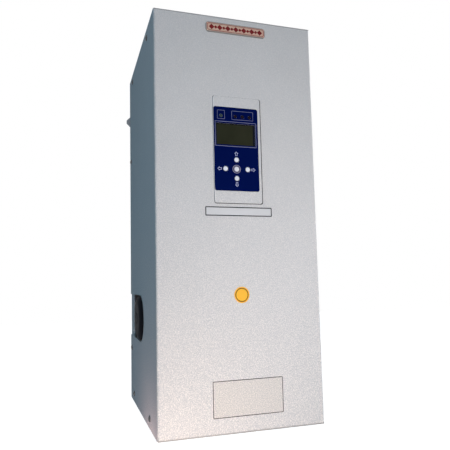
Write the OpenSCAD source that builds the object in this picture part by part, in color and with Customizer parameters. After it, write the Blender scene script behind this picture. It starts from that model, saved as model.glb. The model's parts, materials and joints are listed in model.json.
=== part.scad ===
// Wall-hung electric heating boiler with a built-in circulation pump.
// Lengths are in millimetres. +Z is up, the front faces -Y and the wall is the plane y = 0.
// The origin is the middle of the bolt line of the wall rail.

/* [Casing] */
// Width of the casing
case_w = 246; // [242:1:290]
// Depth of the casing, from the front sheet to the rear sheet
case_d = 270; // [264:1:320]
// Height of the casing
case_h = 600; // [592:1:700]
// Sheet thickness of the front cover
cover_t = 1.2; // [0.8:0.1:1.6]
// Sheet thickness of the chassis
frame_t = 1.5; // [1:0.1:2]
// Outside bend radius of the cover
bend_r = 3; // [2.2:0.1:6]
// Depth of the turned lips at the top and bottom of the cover
lip_d = 14; // [8:1:20]
// Clearance between the cover and the chassis
cover_gap = 0.3; // [0.2:0.1:0.6]
// Depth of the turned edges of the top and bottom plates
edge_d = 22; // [20:1:30]
// Depth of the side edges of the rear panel
rear_edge_d = 36; // [30:1:40]
// Distance from the wall to the rear panel
wall_gap = 8; // [7.5:0.5:12]
// Height of the top of the casing above the bolt line
rail_drop = 77; // [66:1:100]

/* [Wall rail] */
// Spacing of the two wall bolts
bolt_spacing = 190; // [150:1:210]
// Radius of the wall bolt holes
bolt_hole_r = 3.25; // [2.5:0.25:4.5]
// Height of the rail
rail_h = 18.5; // [14:0.5:24]
// Thickness of the rail
rail_t = 3; // [2:0.5:4]
// Length by which each end of the rail stands out past the casing
rail_out = 6.5; // [3:0.5:12]

/* [Cover screws] */
// Radius of the screw heads
head_r = 4.5; // [3.5:0.25:6]
// Height of the screw heads
head_h = 2.4; // [1.5:0.1:4]
// Radius of the screw shanks
shank_r = 2; // [1.5:0.25:2.5]
// Distance of the end screws from the top and bottom of the casing
end_screw_in = 15; // [10:1:18]
// Distance of the front end screws behind the front
front_screw_y = 60; // [30:1:120]
// Distance of the rear end screws in from the back of the casing
back_screw_in = 44; // [44:1:110]
// Distance of the rear edge screws in from the back of the casing
rear_screw_in = 16; // [10:1:24]
// Height of the lower rear edge screws
low_screw_h = 92; // [60:1:105]
// Distance of the upper rear edge screws below the top of the casing
high_screw_drop = 161; // [100:1:300]

/* [Control panel] */
// Width of the bezel plate
bezel_w = 72.5; // [70:0.5:84]
// Height of the bezel plate
bezel_h = 156.6; // [150:0.5:176]
// Thickness of the bezel plate
bezel_t = 2; // [1:0.1:3]
// Distance of the middle of the bezel below the top of the casing
bezel_drop = 201; // [160:1:240]
// Sideways place of the middle of the bezel
bezel_x = -1.5; // [-20:0.25:20]
// Width of the keypad overlay
overlay_w = 68.2; // [66:0.2:69]
// Height of the keypad overlay
overlay_h = 123.5; // [118:0.5:126]
// Thickness of the keypad overlay
overlay_t = 0.4; // [0.2:0.1:0.6]
// Width of the display window
window_w = 59.7; // [50:0.1:61]
// Height of the display window
window_h = 31.7; // [26:0.1:34]
// Radius of the key caps
key_r = 4; // [3:0.25:5]
// Sideways distance from the middle key to the side keys
key_pitch_x = 17; // [14:0.5:20]
// Distance from the middle key to the upper and lower keys
key_pitch_z = 13.7; // [12:0.1:16]
// Travel of the keys
key_travel = 0.6; // [0.3:0.1:0.6]
// Radius of the indicator lamps
lamp_r = 2.5; // [2:0.1:3]

/* [Badge] */
// Width of the badge
badge_w = 93.6; // [60:0.2:120]
// Height of the badge
badge_h = 15.6; // [12:0.2:20]
// Thickness of the badge
badge_t = 1.6; // [0.8:0.1:2.4]

/* [Pump] */
// Height of the pump axis above the bottom of the casing
pump_h = 151.5; // [148:0.5:156]
// Distance of the pump axis in front of the rear sheet's outside
pump_stand = 120; // [114:1:130]
// Length of the pump body between its pipe faces
pump_len = 130; // [126:1:134]
// Distance from the pipe axis to the end of the motor
pump_reach = 104; // [103:1:108]
// Length by which the motor stands out of the casing
pump_proud = 6; // [4:0.5:9]
// Radius of the motor
motor_r = 35; // [35:0.25:37]
// Radius of the flat end of the motor
motor_face_r = 24; // [18:0.5:28]
// Gap between the motor and the window in the cover
pump_window_gap = 2.5; // [1:0.5:5]
// Radius of the volute
volute_r = 44; // [44:0.5:47]
// Radius of the impeller
impeller_r = 28; // [24:0.5:29]
// Number of vanes in the impeller
vane_count = 6; // [4:1:8]
// Radius of the pump shaft
shaft_r = 4; // [3:0.25:4.5]
// Running clearance of the pump shaft
run_gap = 0.05; // [0.02:0.01:0.09]

/* [Heater] */
// Outside radius of the heater vessel
vessel_r = 51; // [49:0.5:52]
// Wall of the heater vessel
vessel_wall = 2; // [1.5:0.25:3]
// Distance of the top of the vessel's straight wall below the top of the casing
vessel_drop = 120; // [110:1:150]
// Height of the foot of the vessel above the bottom of the casing
vessel_foot_h = 190; // [186:1:200]
// Gap between the vessel and the side of the casing
vessel_side_gap = 10; // [6:0.5:11]
// Radius of the dished top of the vessel
dish_r = 80; // [70:1:110]
// Radius of the heating element tubes
element_r = 4.25; // [3:0.25:5]
// Distance of the top of the elements' straight legs below the top of the vessel's straight wall
element_drop = 47; // [40:1:110]
// Number of heating elements
element_count = 3; // [3:1:3]

/* [Pipes] */
// Outside radius of the inner pipes
pipe_r = 14; // [12:0.25:14.5]
// Wall of the inner pipes
pipe_wall = 1.5; // [1:0.25:2]
// Radius of the threaded pipe ends outside the casing
stub_r = 16.6; // [16:0.1:18]
// Length of the supply end above its collar
supply_len = 36; // [20:1:50]
// Length of the return end below its collar
return_len = 24; // [20:1:30]
// Bend radius of the elbow between the pump and the vessel
elbow_r = 22; // [20:1:24]
// Straight length of the elbow's leg above the pump
elbow_leg = 30.5; // [27:0.5:39]

/* [Cable glands] */
// Bore of the gland seals, as a radius
gland_bore_r = 8; // [5:0.25:8.5]
// Length of the gland seals
seal_len = 12; // [8:0.5:14]

/* [Hidden] */
$fn = 64;

// How far a cutting shape runs past the face that it cuts
cut = 1;
// Radial clearance of a screw or pin in its hole
hole_gap = 0.2;
// Gap between a moving piece and what guides it
slide_gap = 0.3;
// Radial gap of pieces that are pushed or brazed together
snug = 0.05;

// Faces of the casing
x_side = case_w / 2;
y_back = -wall_gap;
y_front = y_back - case_d;
z_top = rail_drop;
z_bottom = rail_drop - case_h;
// Faces of the chassis inside the cover
x_frame = x_side - cover_t - cover_gap;
y_frame = y_front + bend_r + cover_gap;
z_frame_top = z_top - cover_t - cover_gap;
z_frame_bottom = z_bottom + cover_t + cover_gap;
y_inner = y_back - frame_t;
rear_edge_y = y_back - rear_edge_d;
edge_stop_gap = 1.5;

// Ventilation slots in the top and bottom plates
vent_count = 10;
vent_pitch = 9;
vent_w = 4;
vent_len = 40;
vent_r = 1.2;
vent_back_in = 70;

// Wall rail, hook and buffers
rail_set = 0.3;
rail_front_y = y_back + rail_set;
rail_back_y = rail_front_y + rail_t;
boss_r = 9;
hook_w = 110;
hook_plate_h = 30;
hook_reach = 11;
hook_front_gap = 0.5;
hook_leg_y = rail_back_y + hook_front_gap;
hook_screw_pitch = 40;
hook_screw_up = 18;
buffer_r = 8;
buffer_stem_r = 3;
buffer_x = 85;
buffer_h = 40;

// Screws
screw_len = 8;
screw_slot_w = 1.2;
screw_slot_d = 1.4;
chassis_screw_x = 60;
chassis_screw_in = 12;

// Control panel, from the front of the bezel inwards
z_bezel = z_top - bezel_drop;
corner_r = 3;
cutout_side_in = 3.25;
cutout_end_in = 20.3;
cutout_w = bezel_w - 2 * cutout_side_in;
cutout_h = bezel_h - 2 * cutout_end_in;
overlay_edge_in = 0.35;
overlay_x = bezel_x - bezel_w / 2 + overlay_edge_in + overlay_w / 2;
overlay_up = 1;
lcd_edge_in = 0.85;
lcd_x = bezel_x - cutout_w / 2 + lcd_edge_in + window_w / 2;
lcd_up = 22.65;
lcd_in = 0.4;
lcd_t = 1.2;
module_side = 0.65;
module_end = 6.6;
module_w = window_w + 2 * module_side;
module_h = window_h + 2 * module_end;
module_t = 6;
key_left_by = 2.35;
key_x = bezel_x - key_left_by;
key_down_by = 28.75;
key_proud = 1.2;
key_dome_r = 7.3;
key_flange_r = 5.2;
key_flange_t = 0.8;
key_stem_r = 1.6;
key_stem_in = 0.5;
switch_w = 6.2;
switch_t = 3.8;
board_t = 1.6;
board_y = y_front - bezel_t + overlay_t + lcd_t + module_t;
board_side_in = 3;
board_end_in = 2;
board_w = cutout_w - 2 * board_side_in;
board_h = cutout_h - 2 * board_end_in;
case_wall = 2;
display_side_in = 0.75;
display_end_in = 1.3;
display_w = bezel_w - 2 * display_side_in;
display_h = bezel_h - 2 * display_end_in;
display_d = 30;
stud_r = 1.5;
stud_side_in = 6.25;
stud_end_in = 7.3;
stud_x = bezel_w / 2 - stud_side_in;
stud_z = bezel_h / 2 - stud_end_in;
stud_len = 9;
nut_flat = 5.5;
nut_t = 2.4;
nut_pocket_r = 3.7;
lamp_up = 49.65;
power_lamp_left = 24.45;
power_lamp_x = bezel_x - power_lamp_left;
lamp_right = 8.5;
lamp_x = bezel_x + lamp_right;
lamp_pitch = 10.9;
lamp_proud = 0.2;
lamp_rim = 0.4;
lamp_foot_t = 1.4;

// Badge
badge_x = 0.8;
badge_drop = 17.8;
badge_r = 5;
badge_edge_t = 0.9;

// Pump, along its own axis from the pipe axis towards the motor
pump_x = -x_side - pump_proud + pump_reach;
pump_y = y_back - pump_stand;
pump_z = z_bottom + pump_h;
pump_window_r = motor_r + pump_window_gap;
volute_back = 22;
volute_front = 20;
chamber_gap = 3;
chamber_r = impeller_r + chamber_gap;
chamber_back = 4;
volute_flange_t = 7;
volute_wall = 5;
spiral_gap = 0.5;
spiral_rise = 7;
spiral_set = 1;
spiral_front = 16;
spiral_body_back = 9;
spiral_steps = 36;
tongue_turn = 20;
outer_tongue_turn = 28;
dome_flat_r = 22;
dome_r = chamber_r + volute_wall;
neck_r = 18.5;
port_thread_r = 23.9;
port_thread_len = 15;
port_bore_r = 14;
port_bore_d = 24;
suction_r = 9;
suction_eye_r = 8;
suction_set = 7;
discharge_r = 5.75;
discharge_set = 10;
lug_r = 7;
lug_t = 14;
lug_set = 0.5;
rib_h = 1.2;
pump_bolt_r = 2.5;
pump_bolt_circle = motor_r + lug_r - rib_h / 2;
pump_bolt_head_r = 4.2;
pump_bolt_head_h = 4;
pump_bolt_in = 10;
flange_t = 5;
shell_t = 4;
rib_w = 1.6;
rib_count = 28;
rib_start = 30;
rib_stop = 16;
rib_run = pump_reach - rib_stop - rib_start;
motor_band = 12;
motor_end_t = 6;
motor_shoulder = 6;
cavity_r = motor_r - shell_t;
can_r = 20.5;
can_t = 0.6;
can_flange_t = 2;
can_end_gap = 8;
can_len = pump_reach - motor_end_t - can_end_gap - volute_front;
stator_start = 34;
stator_gap = 6;
stator_len = can_len + volute_front - stator_gap - stator_start;
coil_over = 10;
coil_in = 2;
bush_r = 9;
bush_len = 8;
bush_boss_r = 12;
front_bush = 21;
bush_end_gap = 1;
back_bush = volute_front + can_len - bush_len - bush_end_gap;
core_r = 19.3;
core_start = 32;
core_gap = 3;
core_len = back_bush - core_gap - core_start;
hub_r = 8;
shroud_t = 1.4;
eye_r = 11.5;
impeller_start = 5.2;
impeller_w = 11;
hub_len = 13;
vane_t = 1;
vane_inner_r = 12;
vane_sweep = 70;
vane_steps = 8;
plug_r = 9;
plug_out = 0.6;
plug_slot_w = 2;
plug_slot_d = 2;
box_start = 42;
box_stop = 12;
box_len = pump_reach - box_stop - box_start;
box_half_y = 26;
box_low = 26;
box_high = 66;
box_lid_t = 3;
box_lid_in = 1;
knob_r = 9;
knob_t = 7;
knob_rise = 51;
knob_stem_r = 2.6;
knob_stem_len = 8;
knob_grip_w = 3;
knob_grip_h = 3;

// Unions on the pump, and the height of the vessel's inlet port that follows from them
union_face = pump_len / 2;
gasket_t = 2;
gasket_r = 22;
collar_t = 5;
collar_r = 22.5;
nut_wall = 3;
nut_lip_t = 4.5;
nut_grip = 11.5;
nut_gap = 0.3;
elbow_z = pump_z + union_face + gasket_t + elbow_leg;
port_z = elbow_z + elbow_r;

// Vessel
vessel_x = x_side - vessel_side_gap - vessel_r;
vessel_y = pump_y;
vessel_z = z_bottom + vessel_foot_h;
vessel_top_z = z_top - vessel_drop;
vessel_len = vessel_top_z - vessel_z;
dish_rise = dish_r - sqrt(dish_r * dish_r - vessel_r * vessel_r);
foot_t = 4;
socket_step = 5;
socket_r = vessel_r - socket_step;
socket_len = 18;
socket_wall = 8.5;
thread_r = socket_r - socket_wall;
thread_gap = 0.3;
neck_wall = 3.5;
neck_len = 24;
neck_seat = 14;
port_out = 12;
port_seat = 10;
head_flat_in = 4;
head_flat = 2 * (socket_r - head_flat_in);
head_t = 14;
head_gasket_t = 2;
head_gasket_in = 2;
head_gasket_r = socket_r - head_gasket_in;
element_in = 13.5;
element_ring_r = thread_r - element_in;
cold_end = 30;
pin_r = 2;
pin_len = 13;
link_w = 9;
link_t = 1.5;
link_up = 4;
terminal_nut_flat = 7;
terminal_nut_t = 3;
sensor_drop = 65;
sensor_z = vessel_top_z - sensor_drop;
sensor_boss_r = 9;
sensor_boss_len = 7;
sensor_thread_r = 5;
sensor_probe_r = 3;
sensor_probe_len = 26;
sensor_hex = 15;
sensor_hex_t = 5;
sensor_plug_r = 4;
sensor_plug_len = 12;

// Vessel brackets and straps
bracket_in = 35;
bracket_side_in = 7;
bracket_half_w = vessel_r - bracket_side_in;
bracket_t = 2;
bracket_flange_h = 24;
bracket_front = 20;
strap_t = 1.4;
strap_h = 11;
strap_box_w = 14;
strap_box_d = 7;

// Pipe ends
stub_collar_r = 20;
stub_collar_t = 6;
pipe_hole_gap = 1;

// Overheat thermostat
thermostat_side_in = 31;
thermostat_back_in = 55;
thermostat_x = x_side - thermostat_side_in;
thermostat_y = y_back - thermostat_back_in;
thermostat_w = 36;
thermostat_d = 30;
thermostat_h = 28;
thermostat_neck_r = 5;
thermostat_neck_len = 4;
reset_r = 2.5;
reset_out = 3;
reset_len = 14;
reset_travel = 1.5;

// Component tray and what it carries
tray_side_gap = 9.5;
tray_left = -x_frame + tray_side_gap;
tray_w = 110;
tray_mid = tray_left + tray_w / 2;
tray_low_h = 225;
tray_drop = 34;
tray_low_z = z_bottom + tray_low_h;
tray_top_z = z_top - tray_drop;
tray_stand = 31;
tray_foot = 12;
tray_y = y_inner - tray_stand;
tray_front_y = tray_y - frame_t;
contactor_in = 34;
contactor_x = tray_left + contactor_in;
contactor_w = 45;
contactor_tall = 74;
contactor_d = 66;
contactor_step = 14;
contactor_step_d = 24;
contactor_pole_pitch = 13.2;
contactor_pole_d = 10;
armature_w = 26;
armature_tall = 14;
armature_d = 16;
armature_out = 4;
armature_travel = 3;
block_w = 90;
block_tall = 30;
block_d = 32;
pole_count = 5;
pole_wall = 2;
pole_screw_r = 2.6;
pole_wire_r = 3;
sink_w = 84;
sink_tall = 118;
sink_base_t = 6;
sink_fin_d = 26;
sink_fin_t = 2;
sink_fin_count = 11;
sink_fin_tall = 78;
triac_w = 15.5;
triac_tall = 20;
triac_t = 5;
triac_pitch = 27;
triac_tab_tall = 6;
triac_tab_t = 2;
power_board_w = 106;
power_board_tall = 116;
power_board_up = 4;
power_board_stand = 56;
pillar_r = 3;
pillar_in = 4;
relay_w = 19;
relay_pitch = 26.5;
relay_tall = 15;
relay_d = 15;
coil_w = 32;
coil_tall = 28;
coil_d = 24;
// The terminal block, the contactor and the heat sink share the tray's height with equal gaps
tray_gap = (tray_top_z - tray_low_z - block_tall - contactor_tall - sink_tall) / 4;
block_z = tray_low_z + tray_gap + block_tall / 2;
contactor_z = block_z + block_tall / 2 + tray_gap + contactor_tall / 2;
sink_z = contactor_z + contactor_tall / 2 + tray_gap;

// Cable glands in the bottom plate
gland_pitch = 36;
gland_side_in = 67;
gland_back_in = 45;
gland_x = x_side - gland_side_in - gland_pitch;
gland_y = y_back - gland_back_in;
gland_flat = 29;
gland_flange_t = 6;
gland_thread_r = 12;
gland_wall = 2;
gland_body_gap = 1.2;
gland_up = 14;
locknut_t = 4.5;
cap_flat = 29;
cap_lip = 4;
cap_gap = 0.3;

function from_bottom(h) = z_bottom + h;

// Basic forms

// A block given by its low and high corners
module block(lo, hi) translate(lo) cube(hi - lo);

// Round bars along each axis, from one place to another
module rod_x(lo, hi, y, z, r) translate([lo, y, z]) rotate([0, 90, 0]) cylinder(h = hi - lo, r = r);
module rod_y(x, lo, hi, z, r) translate([x, hi, z]) rotate([90, 0, 0]) cylinder(h = hi - lo, r = r);
module rod_z(x, y, lo, hi, r) translate([x, y, lo]) cylinder(h = hi - lo, r = r);

// A six-sided bar along Z with the given distance across its flats
module hex_z(lo, hi, flat) translate([0, 0, lo]) cylinder(h = hi - lo, r = flat / 2 / cos(30), $fn = 6);

// A ring along Z
module ring_z(lo, hi, inner, outer) difference() {
    translate([0, 0, lo]) cylinder(h = hi - lo, r = outer);
    translate([0, 0, lo - cut]) cylinder(h = hi - lo + 2 * cut, r = inner);
}

// A flat outline in X and Z, made into a plate between two depths
module plate_y(lo, hi) translate([0, hi, 0]) rotate([90, 0, 0]) linear_extrude(hi - lo) children();

// A rectangle with round corners, about its middle
module rounded(w, h, r) {
    square([w - 2 * r, h], center = true);
    square([w, h - 2 * r], center = true);
    for (x = [-1, 1], z = [-1, 1])
        translate([x * (w / 2 - r), z * (h / 2 - r)]) circle(r);
}

// A rectangle with its two low corners round, from its middle front edge back
module round_front(half_w, depth, r) {
    translate([-half_w, r]) square([2 * half_w, depth - r]);
    translate([-half_w + r, 0]) square([2 * (half_w - r), depth]);
    for (x = [-1, 1]) translate([x * (half_w - r), r]) circle(r);
}

// Puts a copy at each cover screw, turned so that +Z points out of the casing
module at_cover_screws() {
    for (side = [-1, 1]) {
        for (z = [z_bottom + end_screw_in, z_top - end_screw_in],
                y = [y_front + front_screw_y, y_back - back_screw_in])
            translate([side * x_side, y, z]) rotate([0, side * 90, 0]) children();
        for (z = [z_bottom + low_screw_h, z_top - high_screw_drop])
            translate([side * x_side, y_back - rear_screw_in, z]) rotate([0, side * 90, 0]) children();
    }
}

// A pan-head screw that points down from the plane z = 0
module pan_screw(head, tall, shank, length) difference() {
    union() {
        intersection() {
            cylinder(h = tall, r = head);
            translate([0, 0, tall - 2 * head]) sphere(2 * head);
        }
        translate([0, 0, -length]) cylinder(h = length + tall / 2, r = shank);
    }
    for (turn = [0, 90])
        rotate(turn) translate([-head / 2, -screw_slot_w / 2, tall - screw_slot_d])
            cube([head, screw_slot_w, tall]);
}

// Wall rail and what hangs on it

module wall_rail() color("silver") difference() {
    union() {
        plate_y(rail_front_y, rail_back_y) polygon([
            [-x_side, -rail_h / 2], [x_side, -rail_h / 2],
            [x_side + rail_out, -rail_h / 2 + rail_out], [x_side + rail_out, rail_h / 2 - rail_out],
            [x_side, rail_h / 2], [-x_side, rail_h / 2],
            [-x_side - rail_out, rail_h / 2 - rail_out], [-x_side - rail_out, -rail_h / 2 + rail_out]]);
        for (side = [-1, 1])
            rod_y(side * bolt_spacing / 2, rail_back_y - rail_t / 2, 0, 0, min(boss_r, rail_h / 2));
    }
    for (side = [-1, 1])
        rod_y(side * bolt_spacing / 2, rail_front_y - cut, cut, 0, bolt_hole_r);
}

module hanger_hook() color("silver") difference() {
    union() {
        block([-hook_w / 2, y_back, rail_h / 2],
            [hook_w / 2, y_back + frame_t, rail_h / 2 + hook_plate_h]);
        block([-hook_w / 2, y_back, rail_h / 2],
            [hook_w / 2, hook_leg_y + frame_t, rail_h / 2 + frame_t]);
        block([-hook_w / 2, hook_leg_y, rail_h / 2 + frame_t - hook_reach],
            [hook_w / 2, hook_leg_y + frame_t, rail_h / 2 + frame_t]);
    }
    for (i = [-1 : 1])
        rod_y(i * hook_screw_pitch, y_back - cut, y_back + frame_t + cut, rail_h / 2 + hook_screw_up,
            shank_r + hole_gap);
}

// The rear screws hold the hook and the top and bottom plates to the rear panel
module at_chassis_screws() {
    for (side = [-1, 1], z = [z_frame_bottom + chassis_screw_in, z_frame_top - chassis_screw_in])
        translate([side * chassis_screw_x, y_back, z]) rotate([-90, 0, 0]) children();
}

module at_hook_screws() {
    for (i = [-1 : 1])
        translate([i * hook_screw_pitch, y_back + frame_t, rail_h / 2 + hook_screw_up])
            rotate([-90, 0, 0]) children();
}

module chassis_screws() color("silver") {
    at_chassis_screws() pan_screw(head_r, head_h, shank_r, screw_len);
    at_hook_screws() pan_screw(head_r, head_h, shank_r, screw_len);
}

module wall_buffers() color("#202020") for (side = [-1, 1]) {
    rod_y(side * buffer_x, y_back, 0, from_bottom(buffer_h), buffer_r);
    rod_y(side * buffer_x, y_inner, y_back + cut, from_bottom(buffer_h), buffer_stem_r);
    rod_y(side * buffer_x, y_inner - buffer_stem_r / 2, y_inner, from_bottom(buffer_h),
        buffer_stem_r + cut);
}

// Chassis sheets

module rear_panel() color("lightgray") difference() {
    union() {
        block([-x_frame, y_inner, z_frame_bottom + frame_t], [x_frame, y_back, z_frame_top - frame_t]);
        for (side = [-1, 1])
            block([side > 0 ? x_frame - frame_t : -x_frame, rear_edge_y, z_frame_bottom + frame_t],
                [side > 0 ? x_frame : -x_frame + frame_t, y_back, z_frame_top - frame_t]);
    }
    at_cover_screws() cylinder(h = 2 * screw_len, r = shank_r + snug, center = true);
    at_chassis_screws() cylinder(h = 2 * screw_len, r = shank_r + hole_gap, center = true);
    at_hook_screws() cylinder(h = 2 * screw_len, r = shank_r + snug, center = true);
    for (side = [-1, 1])
        rod_y(side * buffer_x, y_inner - cut, y_back + cut, from_bottom(buffer_h),
            buffer_stem_r + snug);
}

// A tray with its edges turned up, used for the bottom plate and turned over for the top plate
module end_tray() {
    block([-x_frame, y_frame, 0], [x_frame, y_back, frame_t]);
    block([-x_frame, y_frame, 0], [x_frame, y_frame + frame_t, edge_d]);
    block([-x_frame + frame_t, y_inner - frame_t, 0], [x_frame - frame_t, y_inner, edge_d]);
    for (side = [-1, 1])
        block([side > 0 ? x_frame - frame_t : -x_frame, y_frame, 0],
            [side > 0 ? x_frame : -x_frame + frame_t, rear_edge_y - edge_stop_gap, edge_d]);
}

// Slots below and above the component tray, for its cooling air
module vent_slots(lo, hi) for (i = [0 : vent_count - 1])
    translate([tray_mid + (i - (vent_count - 1) / 2) * vent_pitch, y_back - vent_back_in, lo])
        linear_extrude(hi - lo) rounded(vent_w, vent_len, vent_r);

module top_plate() color("lightgray") difference() {
    translate([0, 0, z_frame_top]) mirror([0, 0, 1]) end_tray();
    at_cover_screws() cylinder(h = 2 * screw_len, r = shank_r + snug, center = true);
    at_chassis_screws() cylinder(h = 2 * screw_len, r = shank_r + snug, center = true);
    rod_z(vessel_x, vessel_y, z_frame_top - 2 * frame_t, z_frame_top + cut, pipe_r + pipe_hole_gap);
    vent_slots(z_frame_top - 2 * frame_t, z_frame_top + cut);
}

module bottom_plate() color("lightgray") difference() {
    translate([0, 0, z_frame_bottom]) end_tray();
    at_cover_screws() cylinder(h = 2 * screw_len, r = shank_r + snug, center = true);
    at_chassis_screws() cylinder(h = 2 * screw_len, r = shank_r + snug, center = true);
    rod_z(pump_x, pump_y, z_frame_bottom - cut, z_frame_bottom + 2 * frame_t, pipe_r + pipe_hole_gap);
    vent_slots(z_frame_bottom - cut, z_frame_bottom + 2 * frame_t);
    at_glands() translate([0, 0, -cut])
        cylinder(h = 2 * frame_t + cut, r = gland_thread_r + hole_gap);
    rod_z(thermostat_x, thermostat_y, z_frame_bottom - cut,
        z_frame_bottom + 2 * frame_t, thermostat_neck_r + hole_gap);
}

// Front cover: front and both sides in one folded sheet, with lips at the top and bottom

module cover_form(inset, past) intersection() {
    translate([0, y_front + inset, z_bottom + inset])
        linear_extrude(case_h - 2 * inset)
            round_front(x_side - inset, case_d - inset + past, bend_r - inset);
    translate([0, y_front + inset, z_bottom + case_h / 2])
        rotate([0, 90, 0]) linear_extrude(case_w, center = true)
            round_front(case_h / 2 - inset, case_d - inset + past, bend_r - inset);
}

module pump_window() {
    rod_x(-x_side - cut, -x_side + cover_t + cut, pump_y, pump_z, pump_window_r);
    block([-x_side - cut, pump_y, pump_z - pump_window_r],
        [-x_side + cover_t + cut, y_back + cut, pump_z + pump_window_r]);
}

module cover() color("gainsboro") difference() {
    cover_form(0, 0);
    cover_form(cover_t, cut);
    block([-x_side + cover_t, y_front + lip_d, z_bottom - cut],
        [x_side - cover_t, y_back + cut, z_top + cut]);
    pump_window();
    at_cover_screws() cylinder(h = 2 * screw_len, r = shank_r + hole_gap, center = true);
    translate([bezel_x, 0, z_bezel]) {
        block([-cutout_w / 2, y_front - cut, -cutout_h / 2],
            [cutout_w / 2, y_front + cover_t + cut, cutout_h / 2]);
        at_studs() rod_y(0, y_front - cut, y_front + cover_t + cut, 0, stud_r + hole_gap);
    }
}

module cover_screws() color("dimgray") at_cover_screws()
    pan_screw(head_r, head_h, shank_r, screw_len);

// Control panel

module at_studs() for (x = [-1, 1], z = [-1, 1]) translate([x * stud_x, 0, z * stud_z]) children();

key_places = [[0, key_pitch_z], [0, -key_pitch_z], [-key_pitch_x, 0], [key_pitch_x, 0], [0, 0]];
lamp_places = [power_lamp_x, lamp_x - lamp_pitch, lamp_x, lamp_x + lamp_pitch];

// Puts a copy at one key of the pad
module at_key(i) translate([key_x + key_places[i][0], 0, z_bezel - key_down_by + key_places[i][1]])
    children();

// The holes that the bezel and the overlay share
module panel_holes(key_hole, lamp_hole) {
    for (i = [0 : len(key_places) - 1]) at_key(i) rod_y(0, y_front - bezel_t - cut, y_front + cut,
        0, key_hole);
    for (x = lamp_places) rod_y(x, y_front - bezel_t - cut, y_front + cut, z_bezel + lamp_up, lamp_hole);
    translate([lcd_x, 0, z_bezel + lcd_up])
        block([-window_w / 2 - snug, y_front - bezel_t - cut, -window_h / 2 - snug],
            [window_w / 2 + snug, y_front + cut, window_h / 2 + snug]);
}

module control_bezel() color("gainsboro") {
    difference() {
        translate([bezel_x, 0, z_bezel]) plate_y(y_front - bezel_t, y_front)
            rounded(bezel_w, bezel_h, corner_r);
        panel_holes(key_r + slide_gap, lamp_r + hole_gap);
    }
    translate([bezel_x, 0, z_bezel]) at_studs() rod_y(0, y_front - bezel_t / 2, y_front + stud_len, 0,
        stud_r);
}

module keypad_overlay() color("#0c1850") difference() {
    translate([overlay_x, 0, z_bezel + overlay_up])
        plate_y(y_front - bezel_t - overlay_t, y_front - bezel_t) rounded(overlay_w, overlay_h, corner_r);
    panel_holes(key_r + slide_gap, lamp_r + hole_gap);
}

module lcd_window() color("#30342a") translate([lcd_x, 0, z_bezel + lcd_up])
    block([-window_w / 2, y_front - bezel_t + lcd_in, -window_h / 2],
        [window_w / 2, y_front - bezel_t + lcd_in + lcd_t, window_h / 2]);

module lcd_module() color("#454b3a") translate([lcd_x, 0, z_bezel + lcd_up]) difference() {
    union() {
        block([-window_w / 2, y_front - bezel_t + lcd_in + lcd_t, -window_h / 2],
            [window_w / 2, board_y, window_h / 2]);
        block([-module_w / 2, y_front + cover_t, -module_h / 2], [module_w / 2, board_y, module_h / 2]);
    }
    for (side = [-1, 1])
        rod_y(side * (module_w / 2 - corner_r), y_front, board_y + cut,
            side * (module_h / 2 - corner_r), stud_r);
}

module display_board() color("seagreen") difference() {
    union() {
        translate([bezel_x, 0, z_bezel])
            block([-board_w / 2, board_y, -board_h / 2], [board_w / 2, board_y + board_t, board_h / 2]);
        for (i = [0 : len(key_places) - 1]) at_key(i)
            block([-switch_w / 2, board_y - switch_t, -switch_w / 2],
                [switch_w / 2, board_y, switch_w / 2]);
    }
    for (i = [0 : len(key_places) - 1]) at_key(i)
        rod_y(0, board_y - switch_t - cut, board_y - switch_t + key_stem_in + key_travel + slide_gap, 0,
            key_stem_r + slide_gap);
}

module display_case() color("#2b2b2e") translate([bezel_x, 0, z_bezel]) difference() {
    union() {
        difference() {
            block([-display_w / 2, y_front + cover_t, -display_h / 2],
                [display_w / 2, y_front + cover_t + display_d, display_h / 2]);
            block([-display_w / 2 + case_wall, y_front, -board_h / 2 - case_wall],
                [display_w / 2 - case_wall, y_front + cover_t + display_d - case_wall,
                    board_h / 2 + case_wall]);
        }
        for (x = [-1, 1], z = [-1, 1])
            translate([x * (board_w / 2 - pillar_r), 0, z * (board_h / 2 - pillar_r)])
                rod_y(0, board_y + board_t, y_front + cover_t + display_d - case_wall / 2, 0, pillar_r);
    }
    for (x = [-1, 1], z = [-1, 1])
        translate([x * stud_x, 0, z * stud_z]) {
            rod_y(0, y_front, y_front + display_d + cut, 0, stud_r + hole_gap);
            rod_y(0, y_front + cover_t + case_wall, y_front + cover_t + display_d + cut, 0, nut_pocket_r);
        }
}

module bezel_nuts() color("silver") translate([bezel_x, y_front + cover_t + case_wall, z_bezel])
    at_studs() rotate([-90, 0, 0]) difference() {
        hex_z(0, nut_t, nut_flat);
        translate([0, 0, -cut]) cylinder(h = nut_t + 2 * cut, r = stud_r + snug);
    }

// One key: a domed cap, a flange behind the bezel and a stem into its switch
module key_cap(i) color("white") at_key(i) {
    intersection() {
        rod_y(0, y_front - bezel_t - overlay_t - key_proud, y_front + slide_gap + key_flange_t, 0, key_r);
        translate([0, y_front - bezel_t - overlay_t - key_proud + key_dome_r, 0]) rotate([-90, 0, 0])
            union() {
                sphere(key_dome_r);
                cylinder(h = key_dome_r, r = key_dome_r);
            }
    }
    rod_y(0, y_front + slide_gap, y_front + slide_gap + key_flange_t, 0, key_flange_r);
    rod_y(0, y_front + slide_gap, board_y - switch_t + key_stem_in, 0, key_stem_r);
}

module key_up() key_cap(0);
module key_down() key_cap(1);
module key_left() key_cap(2);
module key_right() key_cap(3);
module key_enter() key_cap(4);

module lamp(x) translate([x, 0, z_bezel + lamp_up]) {
    rod_y(0, y_front - bezel_t - overlay_t - lamp_proud, board_y, 0, lamp_r);
    rod_y(0, board_y - lamp_foot_t, board_y, 0, lamp_r + lamp_rim);
}

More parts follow.
